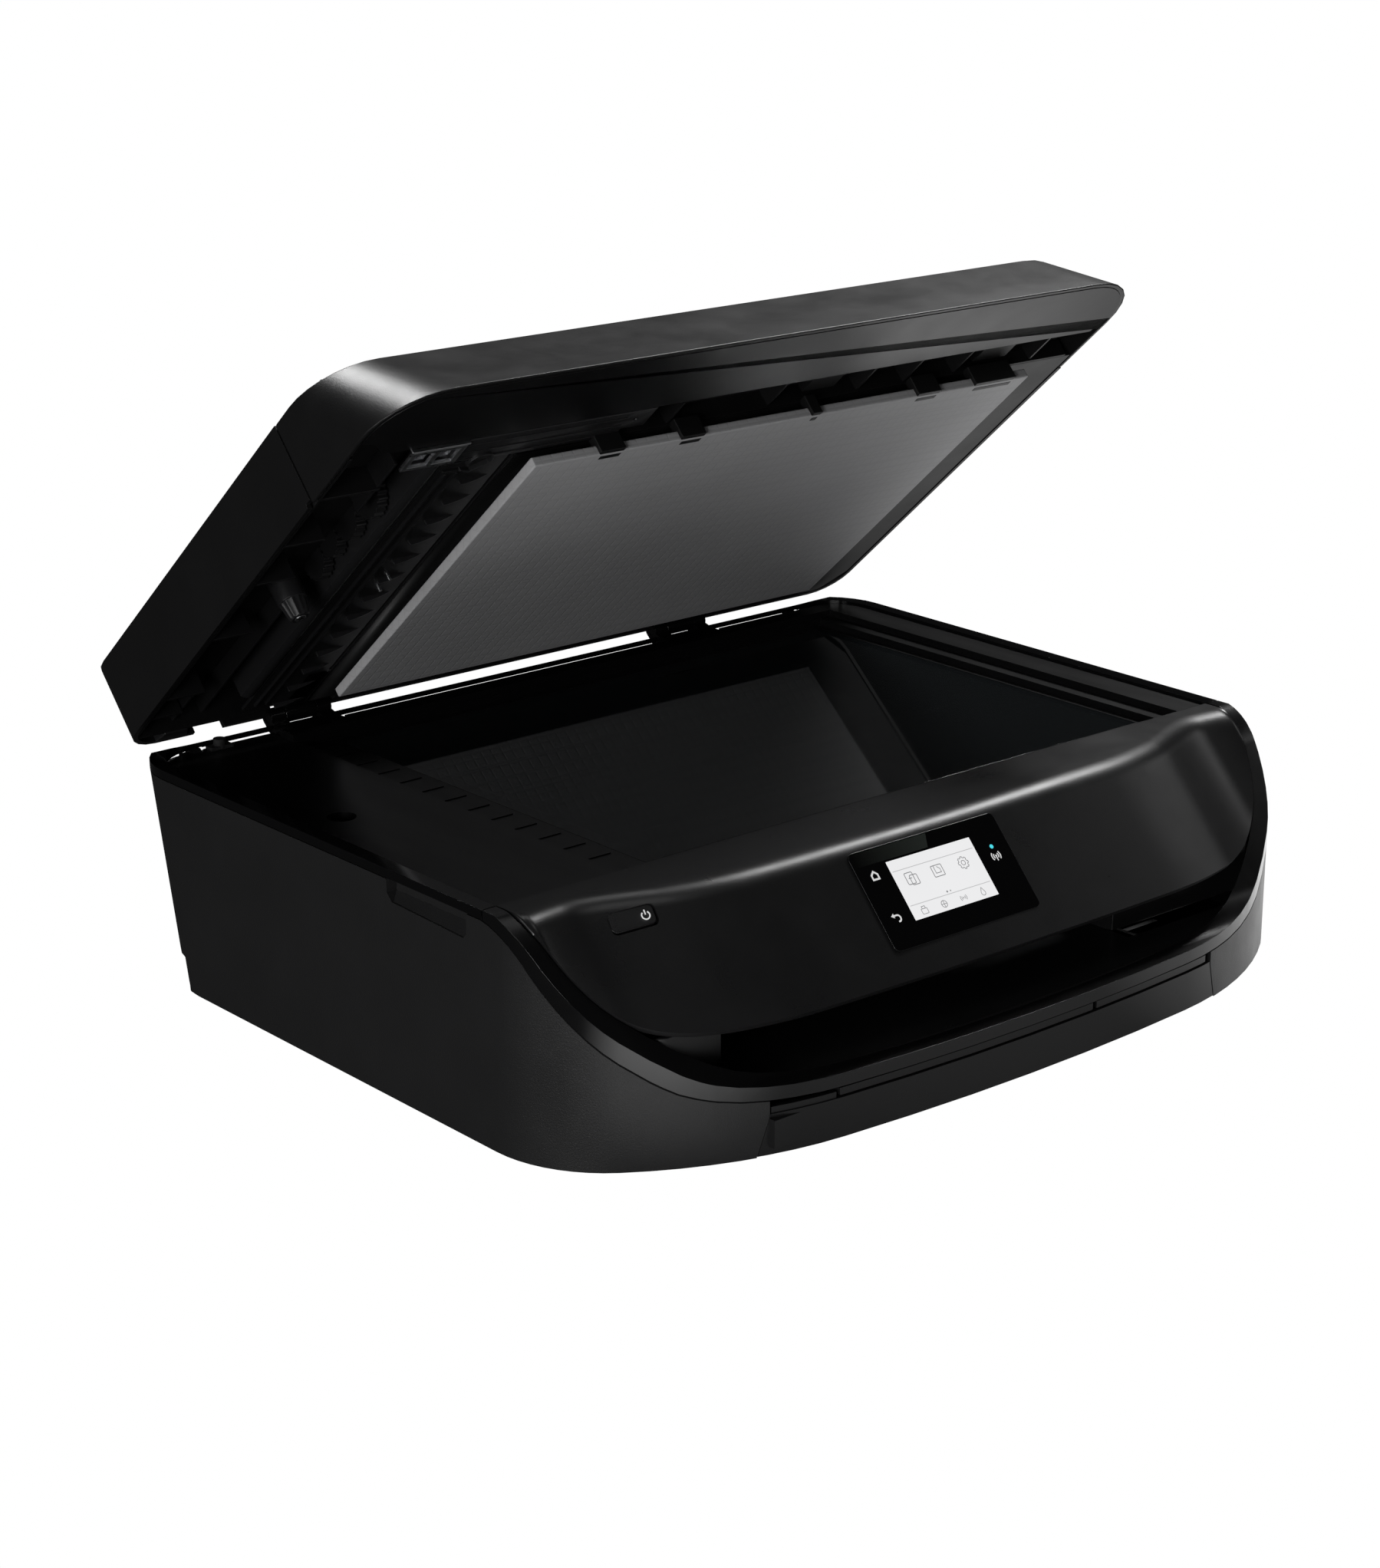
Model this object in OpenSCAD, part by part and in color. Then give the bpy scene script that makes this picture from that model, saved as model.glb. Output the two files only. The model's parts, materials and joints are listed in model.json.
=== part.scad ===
// Inkjet all-in-one printer with a document-feeder lid, shown with its lid open.
// Millimetres. +X is the printer's right side seen from the front, +Y runs to the
// back and +Z is up. The feet stand on Z = 0.

/* [Base] */
// Width of the base and of the lid
body_w = 445; // [442:1:448]
// Depth of the base
body_d = 367; // [366:0.5:369]
// Height of the scanner rim above the table
rim_z = 107; // [106.5:0.5:108]
// Thickness of the outer skins
skin = 2.6; // [2.2:0.1:2.8]
// Height of the rubber feet
foot_h = 4; // [3:0.5:5]

/* [Front] */
// Angle of the control panel's slope above the horizontal
panel_slope = 47.5; // [46:0.5:49]
// Height of the control panel's lower lip
lip_z = 59; // [58:0.5:61]
// Slope of the swoosh that leads from the rim down to the output slot
swoosh_slope = 50.5; // [49:0.5:52]
// Width of the glossy swoosh trim
trim_w = 6.3; // [5.5:0.1:6.5]

/* [Lid] */
// Opening angle of the lid as it stands
lid_open = 41.8; // [0:0.1:60]
// Length of the lid's underside from hinge axis to front edge
lid_len = 297.4; // [296:0.1:299]
// Height of the lid's side walls
lid_h = 38; // [37:0.5:39]
// How far the lid's front face leans back over its height
lid_lean = 35.4; // [30:0.1:38]

/* [Paper] */
// Middle of the paper path across the width
paper_x = -25; // [-26:0.5:-24]
// Width of the output slot
slot_w = 242; // [230:1:244]

/* [Hidden] */

$fn = 48;
half_w = body_w / 2;
seam_z = rim_z - 4.5;       // joint between the side skins and the scanner unit
floor_z = foot_h + 2.5;     // top face of the base floor
hinge_y = body_d - 1.5;     // axis of the lid hinge
hinge_z = rim_z + 0.8;
access_y = body_d - 6;      // axis of the cartridge-access hinge
access_z = seam_z - 3;
// The lid stands open, so the middle of the whole object lies behind the middle of the base.
origin_y = (hinge_y + lid_h * sin(lid_open)) / 2;

black = [0.06, 0.06, 0.065];
satin = [0.1, 0.1, 0.105];
gloss = [0.02, 0.02, 0.022];
grey = [0.42, 0.42, 0.43];
steel = [0.7, 0.71, 0.73];
rubber = [0.14, 0.14, 0.14];
white_plastic = [0.85, 0.85, 0.83];

// ---------------------------------------------------------------- helpers
module box(x0, x1, y0, y1, z0, z1) translate([x0, y0, z0]) cube([x1 - x0, y1 - y0, z1 - z0]);
module rod_x(x0, x1, y, z, r) translate([x0, y, z]) rotate([0, 90, 0]) cylinder(r = r, h = x1 - x0);
module rod_y(x, y0, y1, z, r) translate([x, y1, z]) rotate([90, 0, 0]) cylinder(r = r, h = y1 - y0);
module rod_z(x, y, z0, z1, r) translate([x, y, z0]) cylinder(r = r, h = z1 - z0);
// Extrudes a profile drawn in (y, z) along X.
module along_x(x0, x1) translate([x0, 0, 0]) rotate([90, 0, 90]) linear_extrude(x1 - x0) children();
module placed() translate([0, -origin_y, 0]) children();

function polar(c, r, a) = [c.x + r * cos(a), c.y + r * sin(a)];
function arc(c, r, a0, a1, n) = [for (k = [0:n]) polar(c, r, a0 + (a1 - a0) * k / n)];
function tail(p) = [for (k = [1:len(p) - 1]) p[k]];
function flip(p) = [for (k = [len(p) - 1:-1:0]) p[k]];
function flip_x(p) = [for (k = [len(p) - 1:-1:0]) [-p[k].x, p[k].y]];

// ---------------------------------------------------------------- plan outline of the base
// A nearly straight front, a long shoulder, a tighter corner and a straight side.
front_r = 1205;
shoulder_r = 190;
rear_r = 35;
front_a = 5;
shoulder_a = 35;
front_end = [-front_r * sin(front_a), front_r * (1 - cos(front_a))];
shoulder_c = front_end + shoulder_r * [sin(front_a), cos(front_a)];
shoulder_end = shoulder_c - shoulder_r * [sin(shoulder_a), cos(shoulder_a)];
corner_r = (half_w + shoulder_end.x) / (1 - sin(shoulder_a));
corner_c = shoulder_end + corner_r * [sin(shoulder_a), cos(shoulder_a)];
function front_half(i) = concat(
  arc([0, front_r], front_r - i, -90, -90 - front_a, 3),
  tail(arc(shoulder_c, shoulder_r - i, -90 - front_a, -90 - shoulder_a, 8)),
  tail(arc(corner_c, corner_r - i, -90 - shoulder_a, -180, 9)));
function outline(i, back = body_d) =
  let(h = concat(front_half(i), arc([-half_w + rear_r, back - rear_r], rear_r - i, 180, 90, 8)))
  concat(h, [for (p = flip_x(h)) if (p.x > 0.001) p]);
module plan(i) polygon(outline(i));
module ring(i0, i1, z0, z1) translate([0, 0, z0]) linear_extrude(z1 - z0) difference() { plan(i0); plan(i1); }
module slab(i, z0, z1) translate([0, 0, z0]) linear_extrude(z1 - z0) plan(i);
// Below the rim the back leans forwards: back_at gives its depth at height z.
back_lean = 0.226;
function back_at(z) = body_d - back_lean * (seam_z - z);
module housing(i, z0 = foot_h, z1 = seam_z - 0.2) hull() {
  translate([0, 0, z0]) linear_extrude(0.01) polygon(outline(i, back_at(z0)));
  translate([0, 0, z1 - 0.01]) linear_extrude(0.01) polygon(outline(i, back_at(z1)));
}

// ---------------------------------------------------------------- side-view curves
// The swoosh: level, a rising arc, a straight slope, and an arc into the rim. d offsets it upwards.
swoosh_y = 51.9;
swoosh_z = 67.1;
swoosh_r = 36;
function swoosh(d, level = 26.5, r = swoosh_r) =
  let(a = swoosh_slope,
      y_low = swoosh_y - (swoosh_z - level) / tan(a) - r * tan(a / 2),
      y_top = swoosh_y + (seam_z - swoosh_z) / tan(a) + swoosh_r * tan(a / 2))
  concat([[-20, level + d]],
    arc([y_low, level + r], r - d, -90, -90 + a, 7),
    arc([y_top, seam_z - swoosh_r], swoosh_r + d, 90 + a, 90, 7));
module above_swoosh(d) let(p = swoosh(d)) polygon(concat(p, [[p[len(p) - 1].x, 140], [-20, 140]]));

// Round bottom edge along the back, moved in by i, from the floor up to the leaning wall.
curl_r = 14;
curl_z = 34;
curl_c = [back_at(foot_h + curl_r) - curl_r * norm([1, back_lean]), foot_h + curl_r];
function curl(i) = arc(curl_c, curl_r - i, -90, -atan(back_lean), 7);

// ---------------------------------------------------------------- base housing
tray_x0 = -144;
tray_x1 = 124;
side_split = 199;           // where the side skins end on the back
rear_gap_z = access_z - 0.3;

module base_pan() placed() color(black) {
  difference() {
    intersection() {
      housing(skin + 0.1);
      along_x(-half_w, half_w) polygon(concat([[-5, foot_h]], curl(0), [[back_at(curl_z), curl_z],
        [back_at(curl_z) - 2.7 - skin, curl_z]],
        flip(curl(2.7 + skin)), [[curl_c.x, floor_z], [-5, floor_z]]));
    }
    box(tray_x0 - 10, tray_x1 + 6, -5, 17.2, 0, 20);
    for (x = [-170, -60, 40, 160]) for (y = [30:14:86]) box(x - 18, x + 18, y, y + 3, 0, 20);
  }
  for (x = [tray_x0 - 3.5, tray_x1 + 1]) box(x, x + 2.5, 18, 282, floor_z, 21);
  box(tray_x0 + 4, tray_x1 - 4, 305.6, 307, floor_z, 8.5);
}

// Front opening for the tray, with leaning sides; g widens it.
module tray_gap(g) translate([0, 60, 0]) rotate([90, 0, 0]) linear_extrude(70) polygon([[-140.6 - g, 40],
  [-140.6 - g, 21.5], [-146.2 - g, 3.5], [-146.6 - g, -1],
  [129 + g, -1], [128.6 + g, 3.5], [124 + g, 21.5], [124 + g, 40]]);
module side_skin(s) {
  difference() {
    housing(0);
    housing(skin, foot_h - 1, seam_z);
    along_x(-half_w - 1, half_w + 1) above_swoosh(0);
    along_x(-half_w - 1, half_w + 1)
      polygon(concat([[curl_c.x, 0]], curl(0), [[body_d + 5, curl_c.y], [body_d + 5, 0]]));
    // a small step in the lower back corner
    difference() { box(-300, 300, 318, 400, 0, 19.5); housing(1.3, 0, 30); }
    tray_gap(0.2);
    box(s < 0 ? 0 : -300, s < 0 ? 300 : 0, -10, 400, 0, 120);
    box(-side_split, side_split, 60, 400, 0, 120);
    box(-300, 300, access_y - 5, 400, rear_gap_z, 120);
    finger_pocket(s);
  }
  difference() {
    box(s * 218.25 - 2.75, s * 218.25 + 2.75, finger_y[0] - 3, finger_y[1] + 3, seam_z - 14, seam_z - 0.2);
    finger_pocket(s);
    difference() { box(-300, 300, 0, 400, 0, 120); slab(0.4, -1, 130); }
  }
}
// Finger pocket below the rim, deeper towards its top.
finger_y = [104, 158];
module finger_pocket(s) {
  sill = [[finger_y[0] - 0.5, 105], [finger_y[0], 93.4], [finger_y[0] + 2, 91.4], [finger_y[1] - 3, 93],
    [finger_y[1] + 0.4, 96.5], [finger_y[1] + 0.6, 105]];
  hull() {
    along_x(s > 0 ? half_w - 1 : -half_w - 3, s > 0 ? half_w + 3 : -half_w + 1) polygon(sill);
    along_x(s > 0 ? half_w - 5.2 : -half_w, s > 0 ? half_w : -half_w + 5.2)
      polygon([for (p = sill) [p.x, max(p.y, 96.5)]]);
  }
}
module side_panel_left() placed() color(black) side_skin(-1);
module side_panel_right() placed() color(black) side_skin(1);

inlet_x = -178;
inlet_z = 50;
port_z = 41.6;
ports = [[120, 13, 11.5], [146, 16, 14], [168, 16, 14]];   // [x, width, height] of the sockets
module rear_cover() placed() color(black) {
  difference() {
    housing(0);
    housing(skin, foot_h - 1, seam_z);
    box(-300, 300, -5, 300, 0, 120);
    box(-300, 300, 0, 400, 0, curl_z + 0.3);
    box(-300, 300, 0, 400, rear_gap_z, 120);
    for (s = [-1, 1]) box(s * 261 - 62.3, s * 261 + 62.3, 0, 400, 0, 120);
    box(inlet_x - 15.3, inlet_x + 15.3, 340, 380, inlet_z - 11.3, inlet_z + 11.3);
    for (p = ports) box(p.x - p.y / 2 - 0.6, p.x + p.y / 2 + 0.6, 340, 380, port_z - 0.6, port_z + p.z + 0.6);
    for (x = [-120:12:60]) box(x, x + 7, 340, 380, 78, 81);
  }
  for (s = [-1, 1]) difference() {
    union() {
      rod_x(s * 187 - 3, s * 187 + 3, access_y, access_z, 3.2);
      box(s * 187 - 3, s * 187 + 3, access_y, body_d - 2.8, access_z - 3.2, access_z - 0.4);
    }
    rod_x(s * 187 - 4, s * 187 + 4, access_y, access_z, 2.05);
  }
}

module trim_ring() placed() color(gloss) intersection() {
  ring(0, 7, 20, rim_z);
  along_x(-half_w - 1, half_w + 1) polygon(concat(swoosh(0.5), flip(swoosh(trim_w))));
  box(-300, 300, -10, 92.9, 0, rim_z);
}

// ---------------------------------------------------------------- output bay
slot_x0 = paper_x - slot_w / 2;
slot_x1 = paper_x + slot_w / 2;
shelf_z = 34;
module bay_liner() placed() color(satin) {
  intersection() {
    slab(9, shelf_z, 62);
    union() {
      box(-230, slot_x0, 35, 38, shelf_z, 57.5);
      box(slot_x1, 230, 42, 45, shelf_z, 62);
    }
  }
  // ends in front of a cartridge pulled out with the carriage parked on the left
  box(slot_x0 - 3, slot_x0, 38, 145, shelf_z - 3, 60);
  box(slot_x1, slot_x1 + 3, 45, 183, shelf_z - 3, 60);
}
module output_shelf() placed() color(black) {
  intersection() {
    slab(7.3, shelf_z - 3, shelf_z);
    union() {
      box(-212, 212, 0, 32, 0, 60);
      box(slot_x0 + 0.2, slot_x1 - 0.2, 0, 184, 0, 60);
    }
  }
  for (x = [slot_x0 + 13:24:slot_x1 - 8]) box(x - 0.8, x + 0.8, 118, 184, shelf_z, shelf_z + 1.4);
  // fixed lip to the right of the extender
  intersection() {
    union() {
      ring(1, 12, 22.9, 26.2);
      ring(8, 12, 22.9, shelf_z - 2);
    }
    box(42.5, 121, -5, 30, 0, 40);
  }
  // channels that carry the extender's edges
  for (e = [[extender_x[0], -1], [extender_x[1], 1]]) difference() {
    box(e[0] - 1 + e[1] * 1.5, e[0] + 1 + e[1] * 4, 14, 172, 21.5, shelf_z - 3);
    box(e[0] - 9 - e[1] * 8.5, e[0] + 9 - e[1] * 8.5, 10, 180, 22.9, 26.5);
  }
}
extender_x = [-107, 40];
module output_extender() placed() color(satin) {
  difference() {
    box(extender_x[0], extender_x[1], 8, 165, 23.4, 26);
    for (y = [30:22:140]) box(-80, 12, y, y + 8, 20, 30);
  }
  intersection() {
    ring(1, 12, 22.9, 26.2);
    box(extender_x[0], extender_x[1], -5, 12, 0, 40);
  }
}

// ---------------------------------------------------------------- print engine
feed_y = 244;
feed_z = 33;
feed_r = 5;
feed_teeth = 30;
eject_y = 190;
eject_z = 33.3;
eject_r = 4.7;
eject_teeth = 28;
drive_teeth = 26;
plate_x = 199;              // middle of the chassis end plates
gear_x = -206;              // outer face of the gear train
rod_y0 = 246;
rod_z0 = 61;
belt_y = 258.5;
belt_z = 52;
belt_r = 6.3;
belt_x = 186;
turn_y = 312;
turn_z = 33;
pick_y = 290;
pick_z = 47;
pick_len = 32;
star_z = 43;
// Centre of the drive gear, which meshes with the feed gear and the eject gear below their line.
d_feed = (feed_teeth + drive_teeth) / 2;
d_eject = (eject_teeth + drive_teeth) / 2;
gap = [eject_y - feed_y, eject_z - feed_z];
gap_len = norm(gap);
along = (d_feed * d_feed - d_eject * d_eject + gap_len * gap_len) / (2 * gap_len);
across = sqrt(d_feed * d_feed - along * along);
drive_c = [feed_y, feed_z] + gap / gap_len * along + [-gap.y, gap.x] / gap_len * across;
function bearing(p, q) = atan2(q.y - p.y, q.x - p.x);

// Spur gear of module 1 with a tooth centred on angle a.
module gear(teeth, a, h) linear_extrude(h) polygon([for (k = [0:teeth - 1]) let(s = 360 / teeth, c = a + k * s)
  each [polar([0, 0], teeth / 2 - 1.15, c - 0.36 * s), polar([0, 0], teeth / 2 + 0.85, c - 0.11 * s),
        polar([0, 0], teeth / 2 + 0.85, c + 0.11 * s), polar([0, 0], teeth / 2 - 1.15, c + 0.36 * s)]]);
module gear_yz(p, teeth, a) translate([gear_x, p.x, p.y]) rotate([90, 0, 90]) gear(teeth, a, 4);

module print_platen() placed() color(black) {
  difference() {
    box(slot_x0, slot_x1, 197, 236, 28, 35.5);
    box(slot_x0 + 3, slot_x1 - 3, 200, 233, 27, 32);
  }
  for (x = [slot_x0 + 6:15:slot_x1 - 4]) box(x - 1, x + 1, 198, 235, 35.5, 37.6);
}
module chassis_frame() placed() color(steel) {
  for (s = [-1, 1]) difference() {
    box(s * plate_x - 1, s * plate_x + 1, 180, 268, 22, 72);
    rod_x(s * plate_x - 2, s * plate_x + 2, feed_y, feed_z, 3.05);
    rod_x(s * plate_x - 2, s * plate_x + 2, eject_y, eject_z, 2.05);
    rod_x(s * plate_x - 2, s * plate_x + 2, rod_y0, rod_z0, 4.02);
    rod_x(s * plate_x - 2, s * plate_x + 2, drive_c.x, drive_c.y, 2.05);
    box(s * plate_x - 2, s * plate_x + 2, 200, 230, 44, 66);
  }
  difference() {
    box(-plate_x - 1, plate_x + 1, 268, 270, 22, 72);
    box(slot_x0, slot_x1, 260, 280, 0, 58);
    for (x = [-belt_x, belt_x]) rod_y(x, 260, 280, belt_z, 1.55);
  }
  box(-plate_x - 1, 101, 184, 196, 49, 51);
  difference() {
    box(99, 101, 184, 196, 24, 49);
    rod_x(98, 102, eject_y, eject_z, 2.4);
  }
  box(99, plate_x + 1, 184, 190, 24, 27);
  for (x = [-180, 185]) box(x - 8, x + 8, 262, 268, floor_z, 24);
  for (x = [-140, -70, 0, 80]) difference() {
    box(x - 1.2, x + 1.2, 187, 193, star_z - 2, 49);
    rod_x(x - 2, x + 2, eject_y, star_z, 0.95);
    box(x - 2, x + 2, 180, 196, 30, star_z - 0.2);
  }
}
module carriage_rod() placed() color(steel) rod_x(-plate_x - 3, plate_x + 3, rod_y0, rod_z0, 4);
module carriage_belt() placed() color(rubber) translate([0, belt_y + 2.5, 0]) rotate([90, 0, 0])
  linear_extrude(5) difference() {
    belt_loop(belt_r + 1.3);
    belt_loop(belt_r + 0.15);
  }
module belt_loop(r) {
  translate([-belt_x, belt_z - r]) square([2 * belt_x, 2 * r]);
  for (x = [-belt_x, belt_x]) translate([x, belt_z]) circle(r = r);
}
module pulley(x) placed() color(white_plastic) difference() {
  union() {
    rod_y(x, belt_y - 3, belt_y + 3, belt_z, belt_r);
    rod_y(x, belt_y - 4.4, belt_y - 3.2, belt_z, belt_r + 1.8);
    rod_y(x, belt_y - 3.5, 273, belt_z, 1.5);
  }
  rod_y(x + 4, belt_y - 10, belt_y - 3.6, belt_z, 0.8);
}
module drive_pulley() pulley(belt_x);
module idler_pulley() pulley(-belt_x);
module service_station() placed() color(satin) {
  difference() {
    box(104, 186, 198, 232, 26, 36);
    box(108, 182, 202, 228, 32, 40);
  }
  for (x = [125.5, 164.5]) box(x - 9, x + 9, 205, 225, 32, 38.2);
  for (x = [137, 184]) box(x - 2, x + 2, 205, 220, floor_z, 26);
}
module turn_guide() placed() color(black) {
  intersection() {
    along_x(slot_x0 + 4, slot_x1 - 4) difference() {
      translate([turn_y, turn_z]) circle(r = 24, $fn = 96);
      translate([turn_y, turn_z]) circle(r = 21.5, $fn = 96);
    }
    box(-300, 300, turn_y, 400, 0, 100);
  }
  for (x = [slot_x0 + 1, slot_x1 - 1]) difference() {
    box(x - 3, x + 3, 283, 337, 12, 60);
    rod_x(x - 4, x + 4, turn_y, turn_z, 3.05);
    rod_x(x - 4, x + 4, pick_y, pick_z, 2.55);
  }
  for (x = [slot_x0 + 1, slot_x1 - 1]) box(x - 3, x + 3, 308, 317, floor_z + 0.1, 12);
}
module drive_motors() placed() color(steel) {
  rod_y(belt_x, 275.5, 300, belt_z, 12.5);
  box(belt_x - 12, belt_x + 12, 300, 303, belt_z - 5, belt_z + 5);
  rod_y(belt_x, 273.3, 275.5, belt_z, 4);
  rod_x(-197, -168, drive_c.x, drive_c.y, 10.5);
}
module main_board() placed() {
  color([0.05, 0.3, 0.15]) difference() {
    box(105, 200, 303, 347, 40, port_z);
    for (x = [109, 196]) for (y = [310.2, 339]) rod_z(x, y, 40.8, 50, 1.6);
  }
  color(steel) for (x = [109, 196]) {
    rod_z(x, 310.2, floor_z + 0.1, 40, 3);
    rod_z(x, 337.5, 14.5, 40, 3);
  }
  color([0.08, 0.08, 0.08]) {
    box(128, 150, 310, 328, port_z, 44);
    box(160, 172, 308, 320, port_z, 43.6);
    box(182, 192, 308, 330, port_z, 48);
  }
  color(steel) for (p = ports) difference() {
    intersection() {
      box(p.x - p.y / 2, p.x + p.y / 2, 336, body_d, port_z, port_z + p.z);
      housing(0.6);
    }
    box(p.x - p.y / 2 + 1.6, p.x + p.y / 2 - 1.6, 342, 380, port_z + 1.8, port_z + p.z - 1.8);
  }
}
module power_supply() placed() color(satin) {
  box(-203, -155, 278, 332, 12.4, 60);
  box(-200, -160, 280, 300, floor_z + 0.1, 12.4);
  difference() {
    intersection() {
      box(inlet_x - 15, inlet_x + 15, 330, body_d, inlet_z - 11, inlet_z + 11);
      housing(0.4);
    }
    box(inlet_x - 12, inlet_x + 12, 338, 380, inlet_z - 8, inlet_z + 8);
  }
  for (x = [-6, 6]) rod_y(inlet_x + x, 330, 344, inlet_z, 1.2);
}
module feet() placed() color(rubber) for (x = [-185, 185]) for (y = [75, 290]) {
  rod_z(x, y, 0, foot_h - 0.02, 9);
  rod_z(x, y, 0, 1.6, 10.5);
}
// Pan-head case screws, heads against the underside of the floor.
module screws() placed() color(steel) for (x = [-150, 0, 150]) for (y = [120, 240]) difference() {
  rod_z(x, y, foot_h - 2.2, foot_h - 0.02, 3);
  box(x - 2, x + 2, y - 0.4, y + 0.4, foot_h - 3, foot_h - 1.3);
  box(x - 0.4, x + 0.4, y - 2, y + 2, foot_h - 3, foot_h - 1.3);
}

// ---------------------------------------------------------------- paper tray
module paper_tray() placed() color(black) {
  intersection() {
    ring(0.2, 3.4, foot_h + 0.4, 22.2);
    tray_gap(-0.2);
    box(-200, 200, -5, 24, 0, 30);
  }
  // raised lip at the left end
  intersection() {
    ring(0.9, 3.4, 20, 25);
    box(-139.5, -109, -5, 24, 0, 30);
  }
  intersection() {
    slab(1, 8, 12);
    box(tray_x0 + 1, tray_x1 - 1, 0, 18, 8, 12);
  }
  difference() {
    box(tray_x0 + 3, tray_x1 - 3, 8, 305, 8, 20.5);
    box(tray_x0 + 5.5, tray_x1 - 5.5, 18, 302.5, 10, 30);
    box(-62, 44, 300, 310, 9, 30);
    box(-200, 200, 300, 310, 18.2, 30);
    box(slot_x1 - 5, slot_x1 + 6, 300, 310, 11, 30);
    box(paper_x - 107, paper_x + 107, 96, 104, 0, 20);
    box(paper_x - 4, paper_x + 4, 34, 170, 0, 20);
  }
}
module width_guide(x, s) placed() color(satin) {
  box(x - 1.2, x + 1.2, 60, 150, 10.3, 19.8);
  box(min(x, x + s * 16), max(x, x + s * 16), 88, 112, 10.3, 12);
  box(min(x + s * 3, x + s * 14), max(x + s * 3, x + s * 14), 97, 103, 7.4, 11);
}
module tray_guide_left() width_guide(paper_x - 109.4, 1);
module tray_guide_right() width_guide(paper_x + 109.4, -1);
module tray_length_guide() placed() color(satin) {
  box(paper_x - 25, paper_x + 25, 24, 26.4, 10.3, 19.8);
  box(paper_x - 15, paper_x + 15, 26, 46, 10.3, 12);
  box(paper_x - 2.5, paper_x + 2.5, 36, 44, 7.4, 11);
}

// ---------------------------------------------------------------- print carriage
car_x = 145;                // parked over the service station
module print_carriage() placed() color(satin) difference() {
  union() {
    difference() {
      box(car_x - 42, car_x + 42, 197, 238, 38.8, 72);
      for (s = [-1, 1]) box(car_x + s * 19.5 - 18, car_x + s * 19.5 + 18, 190, 234, 41, 80);
      for (s = [-1, 1]) box(car_x + s * 19.5 - 10, car_x + s * 19.5 + 10, 190, 226, 30, 50);
      rod_x(car_x - 40, car_x + 40, 222, 66, 1.66);
    }
    box(car_x - 40, car_x + 40, 237, 253.5, 54, 68);
    box(car_x - 10, car_x + 10, 253, 264, 55.5, 62.5);
  }
  rod_x(car_x - 60, car_x + 60, rod_y0, rod_z0, 4.05);
  box(car_x - 20, car_x + 20, belt_y - 2.9, belt_y + 2.9, belt_z + belt_r - 0.3, belt_z + belt_r + 1.7);
}
module cartridge(x, tint) placed() {
  color(gloss) difference() {
    union() {
      box(x - 17, x + 17, 198, 233, 41.4, 61);
      box(x - 15, x + 15, 200, 233, 61, 63);
      box(x - 9, x + 9, 205, 225, 39.4, 41.4);
    }
    box(x - 12, x + 12, 197, 199.2, 46, 57);
    for (k = [-2:2]) box(x + k * 5 - 0.8, x + k * 5 + 0.8, 203, 231, 62, 64);
  }
  color(tint) box(x - 11.6, x + 11.6, 197.6, 199.1, 46.4, 56.6);
}
module black_cartridge() cartridge(car_x + 19.5, [0.1, 0.1, 0.1]);
module colour_cartridge() cartridge(car_x - 19.5, [0.1, 0.45, 0.75]);
module latch(x) placed() color([0.2, 0.32, 0.5]) {
  box(x - 14, x + 14, 196.2, 222, 63.4, 65.2);
  rod_x(x - 19.2, x + 19.2, 222, 66, 1.6);
  box(x - 12, x + 12, 194.6, 197, 63.4, 67);
}
module latch_black() latch(car_x + 19.5);
module latch_colour() latch(car_x - 19.5);

// ---------------------------------------------------------------- rollers
module feed_roller() placed() {
  color(steel) rod_x(gear_x - 1, plate_x + 3, feed_y, feed_z, 3);
  color(rubber) for (x = [slot_x0 + 5:36:slot_x1 - 28]) rod_x(x, x + 28, feed_y, feed_z, feed_r);
  color(white_plastic) gear_yz([feed_y, feed_z], feed_teeth, bearing([feed_y, feed_z], drive_c));
}
module drive_gear() placed() color(white_plastic) {
  gear_yz(drive_c, drive_teeth, bearing(drive_c, [feed_y, feed_z]) + 180 / drive_teeth);
  rod_x(gear_x - 1, -197.2, drive_c.x, drive_c.y, 2);
}
module eject_roller() placed() {
  color(steel) rod_x(gear_x - 1, plate_x + 3, eject_y, eject_z, 2);
  color(rubber) for (x = [slot_x0 + 14:48:slot_x1 - 20]) rod_x(x, x + 16, eject_y, eject_z, eject_r);
  color(white_plastic) gear_yz([eject_y, eject_z], eject_teeth, eject_phase);
}
// The eject gear has a gap where the drive gear has a tooth on the line between them.
drive_phase = bearing(drive_c, [feed_y, feed_z]) + 180 / drive_teeth;
to_eject = bearing(drive_c, [eject_y, eject_z]);
drive_pitch = 360 / drive_teeth;
tooth_off = (to_eject - drive_phase) / drive_pitch - floor((to_eject - drive_phase) / drive_pitch);
eject_phase = to_eject + 180 + (0.5 + tooth_off) * 360 / eject_teeth;
module star_wheels() placed() color(steel) {
  rod_x(slot_x0 + 3, slot_x1 - 8, eject_y, star_z, 0.85);
  for (x = [slot_x0 + 22:48:slot_x1 - 20]) translate([x - 0.4, eject_y, star_z]) rotate([90, 0, 90])
    linear_extrude(0.8) polygon([for (k = [0:31]) polar([0, 0], k % 2 == 0 ? 4.5 : 3.5, k * 360 / 32)]);
}
module transport_roller() placed() {
  color(steel) rod_x(slot_x0 - 3, slot_x1 + 3, turn_y, turn_z, 3);
  color(rubber) for (x = [slot_x0 + 22:54:slot_x1 - 40]) rod_x(x, x + 30, turn_y, turn_z, 15);
}
pick_c = [pick_y - sqrt(pick_len * pick_len - 27 * 27), pick_z - 27];
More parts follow.
